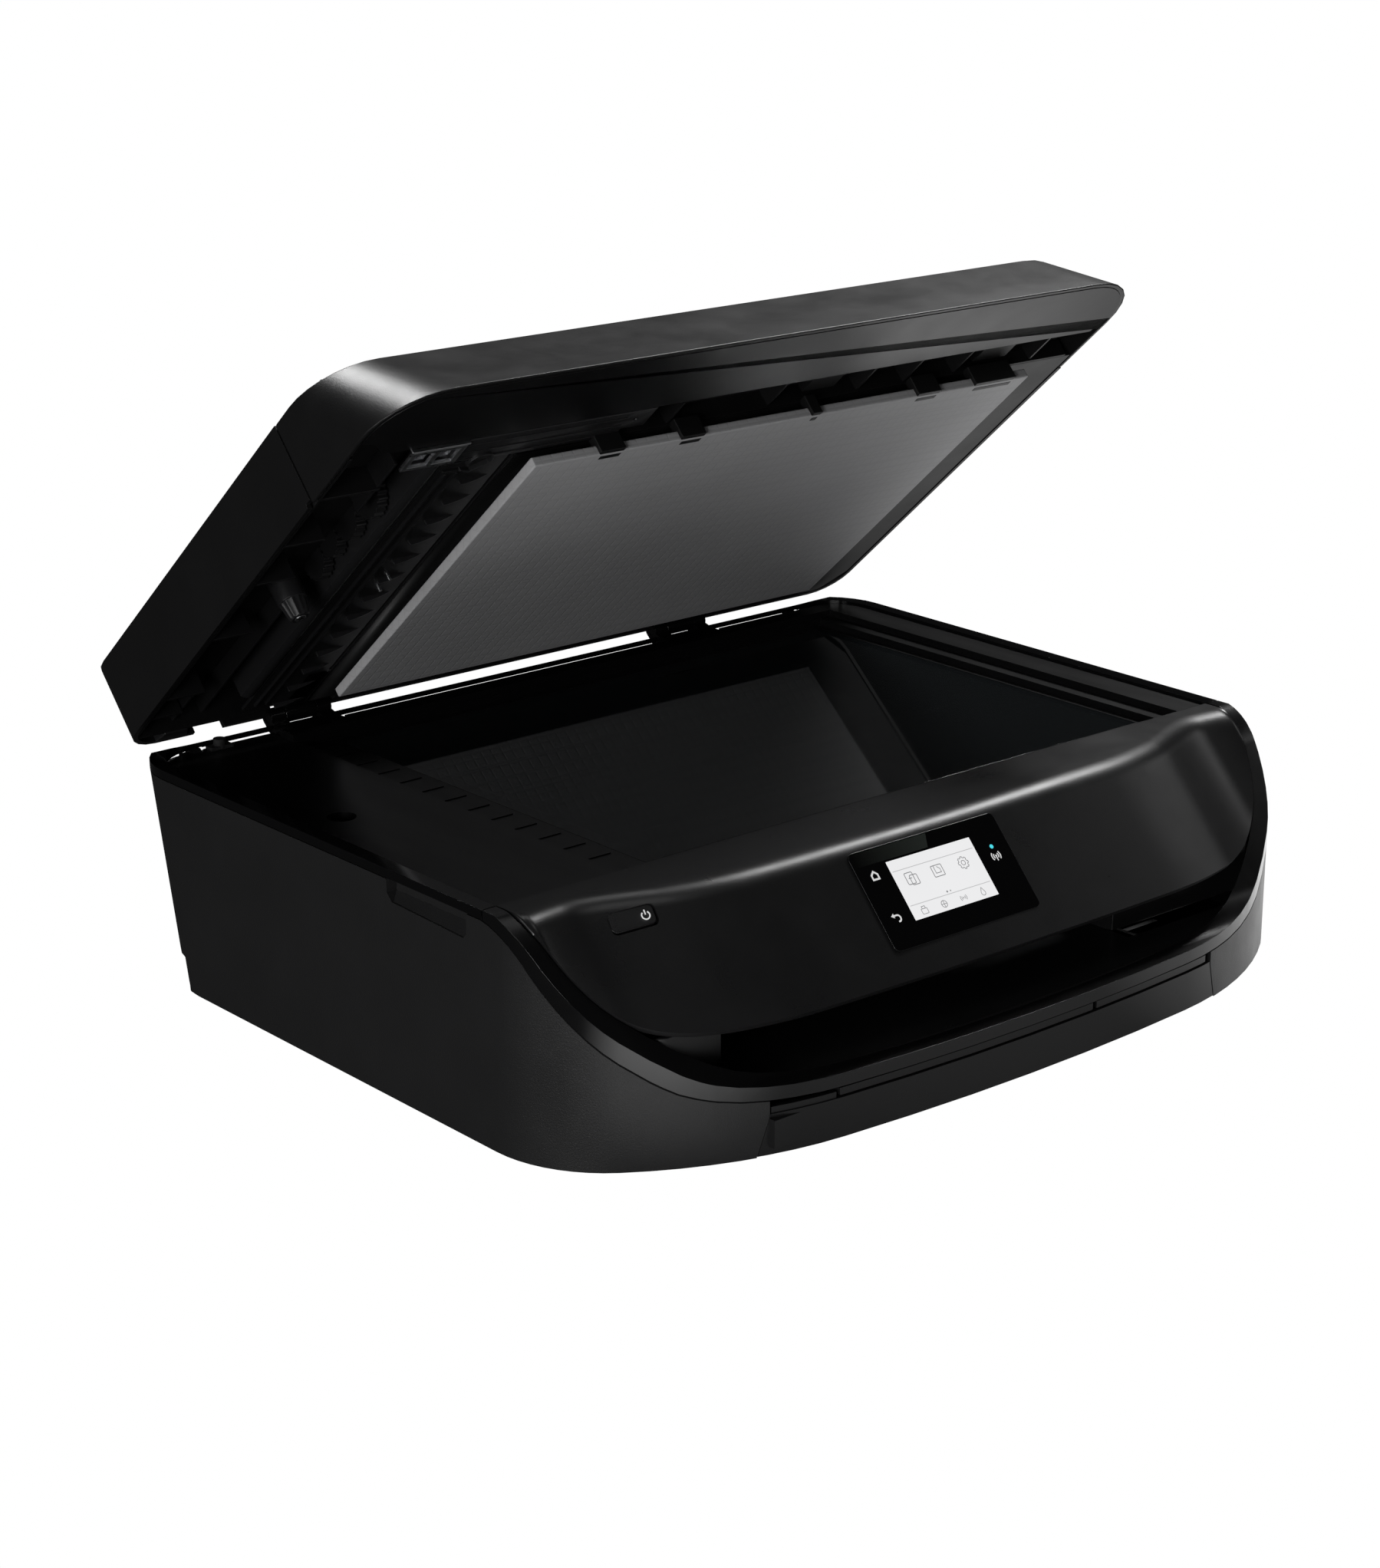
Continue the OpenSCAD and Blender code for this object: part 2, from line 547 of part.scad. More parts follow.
module pick_arm() placed() color(satin) {
  for (x = [-48, -2]) difference() {
    hull() {
      rod_x(x - 1.5, x + 1.5, pick_y, pick_z, 5);
      rod_x(x - 1.5, x + 1.5, pick_c.x, pick_c.y, 4);
    }
    rod_x(x - 3, x + 3, pick_c.x, pick_c.y, 2.05);
  }
  rod_x(slot_x0 - 3, slot_x1 + 3, pick_y, pick_z, 2.5);
  box(-47, -3, pick_y - 4, pick_y, pick_z - 9, pick_z - 5);
}
module pick_roller() placed() {
  color(steel) rod_x(-51, 1, pick_c.x, pick_c.y, 2);
  color(rubber) for (x = [-44, -22]) rod_x(x, x + 16, pick_c.x, pick_c.y, 9.5);
}

// ---------------------------------------------------------------- scanner unit
tub_z = 76;
glass_z = rim_z - 8.5;
glass_x = [-121, 186];
glass_y = [113, 335];
bed_x = [-143, 190];
bed_y = [99, 340];
deck_z = rim_z - 5;
rack_y = 245;
module scanner_tub() placed() color(black) {
  difference() {
    box(-206, 206, 100, 348, tub_z, glass_z - 6);
    box(-203.8, 203.8, 102.2, 345.8, tub_z + 2, 120);
  }
  for (y = [150, 190, 290]) difference() {
    box(-203.8, 203.8, y, y + 1.6, tub_z + 2, tub_z + 5);
    box(-125, 195, y - 1, y + 3, tub_z + 2.5, 90);
  }
  for (x = [-200, -60, 60, 200]) box(x - 6, x + 6, 94, 100, tub_z + 2, 90);
}
rear_deck_z = rim_z - 1.5;
module scan_deck() placed() color(gloss) {
  difference() {
    intersection() {
      slab(7.4, glass_z - 6, deck_z);
      box(-300, 300, 97, 360, 0, 200);
    }
    // well for the glass and the document pad
    box(bed_x[0], bed_x[1], bed_y[0], bed_y[1], glass_z, 130);
    box(glass_x[0] - 0.3, glass_x[1] + 0.3, glass_y[0] - 0.3, glass_y[1] + 0.3, glass_z - 3.2, 130);
    box(glass_x[0] + 2.5, glass_x[1] - 2.5, glass_y[0] + 2.5, glass_y[1] - 2.5, 0, 130);
    // hollow under the side decks
    box(-204, bed_x[0] - 3, 104, 344, 0, deck_z - 2.4);
    box(bed_x[1] + 3, 204, 104, 344, 0, deck_z - 2.4);
    // socket for the peg on the lid
    rod_z(-190, 237, 0, 130, 8);
    for (x = [-126, 111]) box(x - 18, x + 18, 345.5, 370, deck_z - 4, 130);
    for (s = [-1, 1]) box(s * 187 - 4, s * 187 + 4, access_y - 5, 370, 0, 130);
  }
  difference() {
    rod_z(-190, 237, deck_z - 6, deck_z, 8);
    rod_z(-190, 237, deck_z - 5, deck_z + 1, 6.6);
  }
  // ribbed ramp beside the feeder window
  for (k = [0:12]) box(-142, -125, 131 + 17 * k, 132.4 + 17 * k, glass_z - 0.5, glass_z + 0.4);
  // raised borders behind and to the right of the well
  intersection() {
    slab(7.4, deck_z, rear_deck_z);
    difference() {
      union() {
        box(-145, 300, bed_y[1] + 1, 352, 0, 200);
        box(bed_x[1] + 8, 300, 97, 352, 0, 200);
      }
      for (x = [-126, 111]) box(x - 18, x + 18, 345.5, 370, deck_z - 4, 130);
    }
  }
  // pins of the access hinge
  for (s = [-1, 1]) {
    box(s * 192.5 - 1.7, s * 192.5 + 1.7, access_y - 4, access_y + 1.4, access_z - 2, access_z + 2);
    rod_x(s * 187.6 - 4.4, s * 187.6 + 4.4, access_y, access_z, 2);
  }
}
module scan_rim() placed() color(gloss) difference() {
  ring(0, 7.2, seam_z + 0.3, rim_z);
  box(-300, 300, -10, 93.5, 0, 200);
  // the rear edge falls away below the lid hinge
  along_x(-300, 300) polygon([[356.3, rim_z + 0.1], [body_d + 1, rim_z - 5.1],
    [body_d + 1, rim_z + 2], [356.3, rim_z + 2]]);
  for (x = [-126, 111]) box(x - 18, x + 18, 345.5, 370, deck_z - 4, 130);
  for (s = [-1, 1]) rod_x(s * 187 - 4, s * 187 + 4, access_y, access_z, 3.8);
}
module platen_glass() placed() color([0.5, 0.55, 0.58, 0.4])
  box(glass_x[0], glass_x[1], glass_y[0], glass_y[1], glass_z - 3.18, glass_z - 0.1);
bar_x = [-117.5, -99.5];
bar_mid = (bar_x[0] + bar_x[1]) / 2;
module scan_bar() placed() color(satin) difference() {
  union() {
    box(bar_x[0], bar_x[1], 116.2, 331.8, 86, glass_z - 3.5);
    box(bar_x[0], bar_x[1], 216, 232, tub_z + 2.6, 87);
    box(bar_x[0], bar_x[1], rack_y - 6, rack_y + 6, 83.2, 87);
  }
  rod_x(bar_x[0] - 9, bar_x[1] + 9, 224, 82.5, 3.05);
  box(bar_x[0] - 1, bar_x[1] + 1, rack_y - 3.4, rack_y + 3.4, 70, 92.6);
  rod_y(bar_mid, rack_y - 8, rack_y + 8, pinion_z, 1.55);
  box(bar_mid - 2, bar_mid + 2, 119, 329, glass_z - 4.4, 120);
}
module scan_rail() placed() color(steel) {
  rod_x(-203.6, 203.6, 224, 82.5, 3);
  // toothed rack
  translate([0, rack_y + 2.5, 0]) rotate([90, 0, 0]) linear_extrude(5) {
    translate([-122, tub_z + 2]) square([320, 1.9]);
    for (k = [-3:95]) translate([bar_mid + (k + 0.5) * PI, rack_pitch_z])
      polygon([[-1.1, -1.2], [1.1, -1.2], [0.35, 0.85], [-0.35, 0.85]]);
  }
}
rack_pitch_z = tub_z + 5;
pinion_teeth = 10;
pinion_z = rack_pitch_z + pinion_teeth / 2 + 0.15;
module scan_pinion() placed() color(white_plastic) {
  translate([bar_mid, rack_y + 2.5, pinion_z]) rotate([90, 0, 0]) gear(pinion_teeth, -90, 5);
  rod_y(bar_mid, rack_y - 5.8, rack_y + 5.8, pinion_z, 1.5);
}

// ---------------------------------------------------------------- control panel
panel_top = rim_z - 0.2;
panel_back = 95;
bend_r = 18;
// Lower edge of the panel: seen from the side it is a second, higher swoosh.
lip_side = swoosh(trim_w, lip_z - trim_w, 25 + trim_w);
function side_z(y, p = lip_side, k = 0) = k >= len(p) - 2 || p[k + 1].x > y
  ? p[k].y + (p[k + 1].y - p[k].y) * (y - p[k].x) / (p[k + 1].x - p[k].x) : side_z(y, p, k + 1);
lip_half = [for (p = front_half(8)) if (p.y < 86) [p.x, p.y + 6 * max(0, 1 - pow(p.x / 150, 2))]];
lip_plan = concat(lip_half, [[-half_w + 8, 91]]);
lip_path = concat([for (p = flip(lip_plan)) if (p.x < -0.001) p], [lip_plan[0]],
  [for (p = lip_plan) if (p.x < -0.001) [-p.x, p.y]]);
// One profile of the panel, from the lip over the bend to the back edge.
function panel_profile(p) =
  let(z0 = min(side_z(p.y), panel_top - 0.4),
      knee = p.y + (panel_top - z0) / tan(panel_slope),
      room = min(panel_back - 1 - knee, (panel_top - z0) / sin(panel_slope)) * 0.95,
      t = min(bend_r * tan(panel_slope / 2), max(room, 0.05)),
      r = t / tan(panel_slope / 2),
      c = [knee + t, panel_top - r])
  concat([[p.y, z0]], arc(c, r, 90 + panel_slope, 90, 8), [[panel_back, panel_top]]);
panel_rows = [for (p = lip_path) [for (q = panel_profile(p)) [p.x, q.x, q.y]]];
// Closed shell between the surface and a copy of it moved by shift.
module loft(rows, shift) {
  n = len(rows);
  m = len(rows[0]);
  o = n * m;
  pts = concat([for (r = rows) each r], [for (r = rows) each [for (p = r) p + shift]]);
  skin_faces = [for (i = [0:n - 2]) for (j = [0:m - 2]) each let(a = i * m + j, b = a + m)
    [[a, a + 1, b], [a + 1, b + 1, b], [o + a, o + b, o + a + 1], [o + a + 1, o + b, o + b + 1]]];
  low_edge = [for (i = [0:n - 2]) each let(a = i * m, b = a + m) [[a, b, o + a], [b, o + b, o + a]]];
  top_edge = [for (i = [0:n - 2]) each let(a = i * m + m - 1, b = a + m) [[a, o + a, b], [b, o + a, o + b]]];
  ends = [for (j = [0:m - 2]) each let(b = (n - 1) * m + j)
    [[j, o + j, j + 1], [j + 1, o + j, o + j + 1], [b, b + 1, o + b], [b + 1, o + b + 1, o + b]]];
  polyhedron(points = pts, faces = concat(skin_faces, low_edge, top_edge, ends));
}
// Frame lying on the panel's slope: x across, y up the slope from the lip, z out of it.
module on_panel() translate([0, 14, lip_z]) rotate([panel_slope, 0, 0]) children();
touch = [-60.6, 26.6, 13.2, 60.3];      // x0, x1, low and high edge up the slope
module rounded(b, r, i) polygon(concat(
  arc([b[0] + r, b[2] + r], r - i, 180, 270, 4), arc([b[1] - r, b[2] + r], r - i, 270, 360, 4),
  arc([b[1] - r, b[3] - r], r - i, 0, 90, 4), arc([b[0] + r, b[3] - r], r - i, 90, 180, 4)));
module control_panel() placed() color(satin) {
  difference() {
    loft(panel_rows, [0, 1.6, -2.2]);
    on_panel() translate([0, 0, -12]) linear_extrude(30) rounded(touch, 3, -0.25);
    button_frame() translate([0, 0, -14]) linear_extrude(30) rounded(button_at, 2.5, -0.3);
  }
  for (x = [-200, -60, 60, 200]) box(x - 2, x + 2, 88, 94, 90, panel_top - 1);
}
module touch_panel() placed() on_panel() color(gloss) {
  translate([0, 0, -2.6]) linear_extrude(2.8) rounded(touch, 3, 0);
  translate([0, 0, -6]) linear_extrude(3.4)
    rounded([touch[0] + 6, touch[1] - 6, touch[2] + 4, touch[3] - 4], 2, 0);
}
button_at = [-10.2, 10.2, -4.6, 4.6];
module button_frame() translate([-168, 65.2, 98.1]) rotate([47, 0, -19]) rotate([0, 0, 7]) children();
module power_button() placed() button_frame() color(satin) {
  translate([0, 0, -6]) linear_extrude(6.2) rounded(button_at, 2.5, 0);
  translate([0, 0, -9]) linear_extrude(3) rounded([-6, 6, -3, 3], 1, 0);
}

// ---------------------------------------------------------------- lid hinges
hinge_x = [-126, 111];
module hinge_brackets() placed() color(gloss) for (x = hinge_x) difference() {
  union() {
    box(x - 17, x + 17, 346, 360, deck_z - 3.98, rim_z - 1.8);
    for (s = [-1, 1]) {
      rod_x(x + s * 13 - 4, x + s * 13 + 4, hinge_y, hinge_z, 4.2);
      along_x(x + s * 13 - 4, x + s * 13 + 4)
        polygon([[356, deck_z - 3.8], [hinge_y - 1, deck_z - 1], [hinge_y + 2, hinge_z - 3.8],
          [hinge_y, hinge_z], [356, rim_z - 1.8]]);
    }
  }
  rod_x(x - 18, x + 18, hinge_y, hinge_z, 2.55);
}
module hinge_arms() in_lid() color(gloss) for (x = hinge_x) {
  rod_x(x - 8.6, x + 8.6, 0, 0, 4.2);
  rod_x(x - 16.6, x + 16.6, 0, 0, 2.5);
  lbox(x - 8.6, x + 8.6, 0, 12, 0.6, 4.2);
  lbox(x - 12, x + 12, 11, 40, 0.6, 2.9);
}
module feeder_cable() placed() color(rubber) {
  rod_z(-176, 355.9, deck_z + 0.02, rim_z - 0.2, 2.9);
  box(-182, -170, 353.2, 358.6, deck_z + 0.02, deck_z + 1.6);
}

// ---------------------------------------------------------------- lid
// Frame of the lid: the hinge axis is its origin, the underside is z = 0 and s runs forwards.
module in_lid() placed() translate([0, hinge_y, hinge_z]) rotate([-lid_open, 0, 0]) children();
module lbox(x0, x1, s0, s1, t0, t1) box(x0, x1, -s1, -s0, t0, t1);
function lid_outline(i, s_front, r) = let(w = half_w - i, rr = 18, q = r + 8) concat(
  arc([-w + r - i, -(s_front - r)], r - i, 180, 270, 7), arc([w - q + i, -(s_front - q)], q - i, 270, 360, 7),
  arc([w - rr + i, -rr], rr - i, 0, 90, 5), arc([-w + rr - i, -rr], rr - i, 90, 180, 5));
front_r0 = 32;
front_r1 = 30;
lean_k = lid_lean / lid_h;
wall = 2.4;
// Opening in the lid's top, moved in by i, with its right front corner rounded like the lid.
module top_opening(i) difference() {
  lbox(-214.4, 214.4 - i, lid_top_s[0] + i, lid_top_s[1] - i, 20, 60);
  difference() {
    lbox(170, 230, 205, 262, 10, 61);
    lid_solid(6 + i, 0, 70);
  }
}
// Solid body of the lid, its walls moved in by i, between heights t0 and t1.
module lid_solid(i, t0, t1) hull() {
  translate([0, 0, t0]) linear_extrude(0.01)
    polygon(lid_outline(i, lid_len - lean_k * t0 - i * 0.37, front_r0));
  translate([0, 0, t1 - 0.01]) linear_extrude(0.01)
    polygon(lid_outline(i, lid_len - lean_k * t1 - i * 0.37, front_r1));
}
lid_split = 218;
module lid_front() in_lid() color(black) difference() {
  intersection() {
    lid_solid(0, 0, lid_h);
    lbox(-300, 300, lid_split + 0.2, 400, -1, 60);
  }
  lid_solid(wall, -0.1, lid_h - wall);
  top_opening(0);
}
adf_mid = 10.5;             // where the feeder cover meets the tray flap
lid_top_s = [11, 250];
flap_x = 210.5;             // axes of the cover and the flap
flap_t = 36;
module rod_lid(x, t, r, s0, s1) translate([x, -s0, t]) rotate([90, 0, 0]) cylinder(r = r, h = s1 - s0);
module lid_shell() in_lid() color(black) {
  difference() {
    union() {
      difference() {
        intersection() {
          lid_solid(0, 0, lid_h);
          lbox(-300, 300, -5, lid_split - 0.2, -1, 60);
        }
        lid_solid(wall, -0.1, lid_h - wall);
        top_opening(0);
      }
      for (x = [-flap_x, flap_x]) lbox(x - 3.6, x + 3.6, 6.5, 10.6, 31.5, 37);
    }
    for (x = [-flap_x, flap_x]) rod_lid(x, flap_t, 1.66, 5, 20);
    for (x = hinge_x) lbox(x - 18, x + 18, -1, 6, -1, 5.2);
    lbox(-184, -168, -1, 6, -1, 6);
    lbox(-300, -200, lid_split - 4, lid_split + 1, -1, 2);
  }
  // paper ramp under the tray flap, carried by the right wall
  difference() {
    union() {
      lbox(2, 216, 6, 254, 20, 22.5);
      lbox(215, 220.4, 20, 210, 20, 22.5);
      lbox(2, 4.4, 6, 254, 22, 34);
      for (x = [-flap_x, flap_x])
        lbox(x - 3.6, x + 3.6, x > 0 ? 233.5 : 250.6, x > 0 ? 236.3 : 253.4, x > 0 ? 22 : 31.5, 35.4);
    }
    lbox(60, 68, 22.5, 243.5, 0, 40);
    lbox(-400, 0, 0, 400, 0, 60);
  }
}
adf_x = [-176, -20];
roller_at = [[-154, 14.5, 11.5], [-45, 24, 9]];     // x, height and radius of the two feeder rollers
module lid_base() in_lid() color(black) difference() {
  union() {
    translate([0, 0, 0.5]) linear_extrude(2.4) polygon(lid_outline(wall + 0.1, lid_len - 3.6, front_r0));
    for (s = [19, 243]) lbox(adf_x[0], adf_x[1], s, s + 3, 2.8, 34);
    // peg that drops into the socket on the deck
    translate([-190, -(hinge_y - 237), -9.6]) cylinder(r1 = 4.4, r2 = 5.6, h = 10.4);
  }
  lbox(-170, -138, 24, 242, -1, 5);
  for (x = hinge_x) {
    lbox(x - 18, x + 18, -1, 6, -1, 6);
    lbox(x - 12.3, x + 12.3, -1, 40.3, -1, 6);
  }
  lbox(-184, -168, -1, 8, -1, 6);
  for (r = roller_at) translate([r.x, 0, r.y]) rotate([90, 0, 0]) cylinder(r = 3.05, h = 300);
}
// The pad floats on a thicker, smaller block of foam.
module document_pad() in_lid() color(grey) {
  translate([0, 0, -8.9]) linear_extrude(5) rounded([-119.5, 182, -232.5, -26.6], 2.5, 0);
  translate([0, 0, -4]) linear_extrude(4.4) rounded([-108, 170, -222, -38], 3, 0);
}
module adf_cover() in_lid() color(black) {
  difference() {
    hull() {
      lbox(-212, adf_mid - 0.4, lid_top_s[0] + 0.8, lid_top_s[1] - 0.8, 36.6, lid_h + 1);
      lbox(-176, adf_mid - 24, 44, 182, 36.6, lid_h + 11);
    }
    hull() {
      lbox(-207, adf_mid - 3, lid_top_s[0] + 4, lid_top_s[1] - 4, 36, lid_h - 1.2);
      lbox(-174, adf_mid - 27, 46, 180, 36, lid_h + 8.6);
    }
  }
  rod_lid(-flap_x, flap_t, 1.6, 7.5, lid_top_s[1] - 0.9);
}
module feeder_flap() in_lid() color(black) {
  // its front right corner stops short of the axis, so that it swings clear of the lid's corner
  difference() {
    intersection() {
      top_opening(0.8);
      lbox(adf_mid + 0.6, 212, 0, 300, lid_h - 2.4, lid_h);
    }
    lbox(208, 220, 224, 300, 30, 60);
    difference() {
      lbox(170, 230, 205, 262, 10, 61);
      lid_solid(8.8, 0, 70);
    }
  }
  rod_lid(flap_x, flap_t, 1.6, 7.5, 226);
  for (s = [34:24:230]) lbox(30, 200, s, s + 1.2, lid_h - 3.6, lid_h - 2.2);
}
module adf_guide(s, d) in_lid() color(satin) {
  lbox(36, 120, s - 1.2, s + 1.2, 22.8, 33.6);
  lbox(50, 78, min(s, s + d * 18), max(s, s + d * 18), 22.8, 24.6);
  lbox(61, 67, min(s + d * 4, s + d * 16), max(s + d * 4, s + d * 16), 18, 24);
}
module adf_guide_front() adf_guide(243, -1);
module adf_guide_rear() adf_guide(23, 1);
module adf_roller(r, s0, s1, n) in_lid() {
  color(steel) rod_lid(r.x, r.y, 3, 16, 248);
  color(rubber) for (k = [0:n - 1])
    rod_lid(r.x, r.y, r.z, s0 + k * (s1 - s0) / n, s0 + (k + 0.8) * (s1 - s0) / n);
}
module adf_drive_roller() adf_roller(roller_at[0], 28, 244, 6);
module adf_pick_roller() adf_roller(roller_at[1], 100, 160, 2);

base_pan();
side_panel_left();
side_panel_right();
rear_cover();
trim_ring();
bay_liner();
output_shelf();
print_platen();
chassis_frame();
carriage_rod();
carriage_belt();
service_station();
turn_guide();
drive_motors();
main_board();
power_supply();
feet();
screws();
paper_tray();
tray_guide_left();
tray_guide_right();
tray_length_guide();
output_extender();
print_carriage();
black_cartridge();
colour_cartridge();
latch_black();
latch_colour();
feed_roller();
drive_gear();
eject_roller();
star_wheels();
transport_roller();
pick_arm();
pick_roller();
drive_pulley();
idler_pulley();
scanner_tub();
scan_deck();
scan_rim();
platen_glass();
scan_bar();
scan_rail();
scan_pinion();
control_panel();
touch_panel();
power_button();
hinge_brackets();
feeder_cable();
lid_front();
lid_shell();
lid_base();
document_pad();
adf_cover();
feeder_flap();
adf_guide_front();
adf_guide_rear();
adf_pick_roller();
adf_drive_roller();
hinge_arms();
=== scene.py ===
"""Looks of the inkjet all-in-one printer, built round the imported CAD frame.

Lengths are in millimetres until they reach a mesh. Two frames are used besides the CAD frame:
the printer frame, whose y starts at the front of the base, and the lid frame, whose origin is the
hinge axis, with s forwards along the underside and t up through the lid's thickness.
"""

import json
import math

import bmesh
import bpy
from mathutils import Matrix, Vector

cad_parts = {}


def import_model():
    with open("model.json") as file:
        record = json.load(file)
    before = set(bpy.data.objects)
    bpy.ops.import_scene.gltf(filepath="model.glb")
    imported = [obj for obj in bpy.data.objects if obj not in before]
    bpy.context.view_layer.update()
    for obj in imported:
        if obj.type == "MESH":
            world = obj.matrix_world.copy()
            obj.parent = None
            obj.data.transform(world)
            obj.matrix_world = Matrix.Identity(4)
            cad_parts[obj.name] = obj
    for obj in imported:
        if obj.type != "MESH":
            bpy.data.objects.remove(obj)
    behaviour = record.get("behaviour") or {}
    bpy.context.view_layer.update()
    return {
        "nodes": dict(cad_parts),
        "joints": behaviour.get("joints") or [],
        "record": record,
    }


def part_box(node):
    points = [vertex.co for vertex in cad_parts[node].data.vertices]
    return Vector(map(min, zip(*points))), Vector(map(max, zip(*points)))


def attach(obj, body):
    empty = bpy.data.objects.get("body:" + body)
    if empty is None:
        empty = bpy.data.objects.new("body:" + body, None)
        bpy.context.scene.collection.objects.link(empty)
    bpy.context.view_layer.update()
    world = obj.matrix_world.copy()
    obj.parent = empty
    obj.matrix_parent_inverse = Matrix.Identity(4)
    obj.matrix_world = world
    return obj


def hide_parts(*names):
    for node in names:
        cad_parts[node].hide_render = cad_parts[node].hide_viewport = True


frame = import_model()

MM = 0.001


def joint(name):
    return next(j for j in frame["joints"] if j["name"] == name)


# ---------------------------------------------------------------- frames
BODY_D = 367.0
RIM_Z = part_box("scan_rim")[1].z / MM
ORIGIN_Y = BODY_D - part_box("scan_rim")[1].y / MM
HALF_W = (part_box("scan_rim")[1].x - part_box("scan_rim")[0].x) / 2 / MM
HINGE = Vector(joint("lid_hinge")["pos_m"])
OPEN = math.radians(-joint("lid_hinge")["range_deg"][0])

BASE = Matrix.Translation((0, -ORIGIN_Y * MM, 0)) @ Matrix.Scale(MM, 4)
# lid frame: x across, -s along y, t along z
LID = Matrix.Translation(HINGE) @ Matrix.Rotation(-OPEN, 4, "X") @ Matrix.Scale(MM, 4)
PANEL_SLOPE = math.radians(47.5)
PANEL_LIP = (14, 59)
PANEL = BASE @ Matrix.Translation((0, *PANEL_LIP)) @ Matrix.Rotation(PANEL_SLOPE, 4, "X")
BUTTON = (
    BASE
    @ Matrix.Translation((-168, 65.2, 98.1))
    @ Matrix.Rotation(math.radians(-19), 4, "Z")
    @ Matrix.Rotation(math.radians(47), 4, "X")
    @ Matrix.Rotation(math.radians(7), 4, "Z")
)


# ---------------------------------------------------------------- materials
def material(name, colour, rough, **sockets):
    m = bpy.data.materials.new(name)
    m.use_nodes = True
    b = m.node_tree.nodes["Principled BSDF"]
    b.inputs["Base Color"].default_value = (*colour, 1)
    b.inputs["Roughness"].default_value = rough
    for key, value in sockets.items():
        b.inputs[key.replace("_", " ")].default_value = value
    return m


def node(m, kind, **values):
    n = m.node_tree.nodes.new(kind)
    for key, value in values.items():
        if hasattr(n, key):
            setattr(n, key, value)
        else:
            n.inputs[key.replace("_", " ")].default_value = value
    return n


def link(m, a, out, b, into):
    m.node_tree.links.new(a.outputs[out], b.inputs[into])


def coords(m, scale=(1, 1, 1)):
    at = node(m, "ShaderNodeTexCoord")
    stretch = node(m, "ShaderNodeMapping")
    stretch.inputs["Scale"].default_value = scale
    link(m, at, "Object", stretch, "Vector")
    return stretch


def noise(m, scale, detail=2.0, stretch=(1, 1, 1)):
    n = node(m, "ShaderNodeTexNoise", Scale=scale, Detail=detail, Roughness=0.6)
    link(m, coords(m, stretch), "Vector", n, "Vector")
    return n


def ranged(m, source, out, low, high, from_low=0.3, from_high=0.7):
    r = node(m, "ShaderNodeMapRange")
    r.inputs["From Min"].default_value = from_low
    r.inputs["From Max"].default_value = from_high
    r.inputs["To Min"].default_value = low
    r.inputs["To Max"].default_value = high
    link(m, source, out, r, "Value")
    return r


def bump(m, source, out, distance, strength=1.0, under=None):
    b = node(m, "ShaderNodeBump", Strength=strength, Distance=distance)
    link(m, source, out, b, "Height")
    if under:
        link(m, under, "Normal", b, "Normal")
    link(m, b, "Normal", m.node_tree.nodes["Principled BSDF"], "Normal")
    return b


def tinted(m, colour, spread, scale):
    """Slow colour drift over the surface, as moulding and handling leave it."""
    drift = noise(m, scale, 3)
    mix = node(m, "ShaderNodeMixRGB")
    mix.inputs["Color1"].default_value = (*[c * (1 - spread) for c in colour], 1)
    mix.inputs["Color2"].default_value = (*[c * (1 + spread) for c in colour], 1)
    link(m, drift, "Fac", mix, "Fac")
    link(m, mix, "Color", m.node_tree.nodes["Principled BSDF"], "Base Color")


def moulded(name, colour, rough, grain=900.0, depth=0.00006, spread=0.12, **sockets):
    """Moulded plastic: spark-eroded grain, slight unevenness of gloss and tone."""
    m = material(name, colour, rough, **sockets)
    tinted(m, colour, spread, 18)
    shader = m.node_tree.nodes["Principled BSDF"]
    link(m, ranged(m, noise(m, 26, 4), "Fac", rough * 0.88, rough * 1.12), "Result", shader, "Roughness")
    bump(m, noise(m, grain, 2), "Fac", depth)
    return m


def polished(name, colour, rough, **sockets):
    """Glossy plastic: faint ripple of the tool and fine rub marks in the roughness."""
    m = material(name, colour, rough, **sockets)
    tinted(m, colour, 0.15, 12)
    shader = m.node_tree.nodes["Principled BSDF"]
    rub = noise(m, 60, 3, (1, 0.15, 1))
    link(m, ranged(m, rub, "Fac", rough * 0.92, rough * 1.1), "Result", shader, "Roughness")
    bump(m, noise(m, 9, 1), "Fac", 0.00002)
    return m


def metal(name, colour, rough, stretch, depth=0.00001):
    m = material(name, colour, rough, Metallic=1.0)
    shader = m.node_tree.nodes["Principled BSDF"]
    brush = noise(m, 300, 4, stretch)
    tinted(m, colour, 0.08, 40)
    link(m, ranged(m, brush, "Fac", rough * 0.7, rough * 1.4), "Result", shader, "Roughness")
    bump(m, brush, "Fac", depth)
    return m


HOUSING = moulded("housing", (0.022, 0.022, 0.0225), 0.4, 1500, 0.00011)
LID_SKIN = moulded("lid_skin", (0.011, 0.011, 0.0113), 0.36, 1700, 0.00005)
SATIN = moulded("satin", (0.014, 0.014, 0.0145), 0.3, 2200, 0.00003)
SATIN_DARK = moulded("satin_dark", (0.006, 0.006, 0.0063), 0.34, 2200, 0.00002)
SATIN_LIGHT = moulded("satin_light", (0.02, 0.02, 0.021), 0.34, 2200, 0.00003)
INNER_LIGHT = moulded("inner_light", (0.012, 0.012, 0.0125), 0.38, 1500, 0.00004)
INNER = moulded("inner", (0.006, 0.006, 0.0063), 0.5, 1200, 0.00006)
GLOSS = polished("gloss", (0.004, 0.004, 0.0043), 0.09)
TRIM = polished("trim", (0.005, 0.005, 0.0053), 0.19, IOR=1.6)
DECK = polished("deck", (0.0035, 0.0035, 0.0038), 0.3)
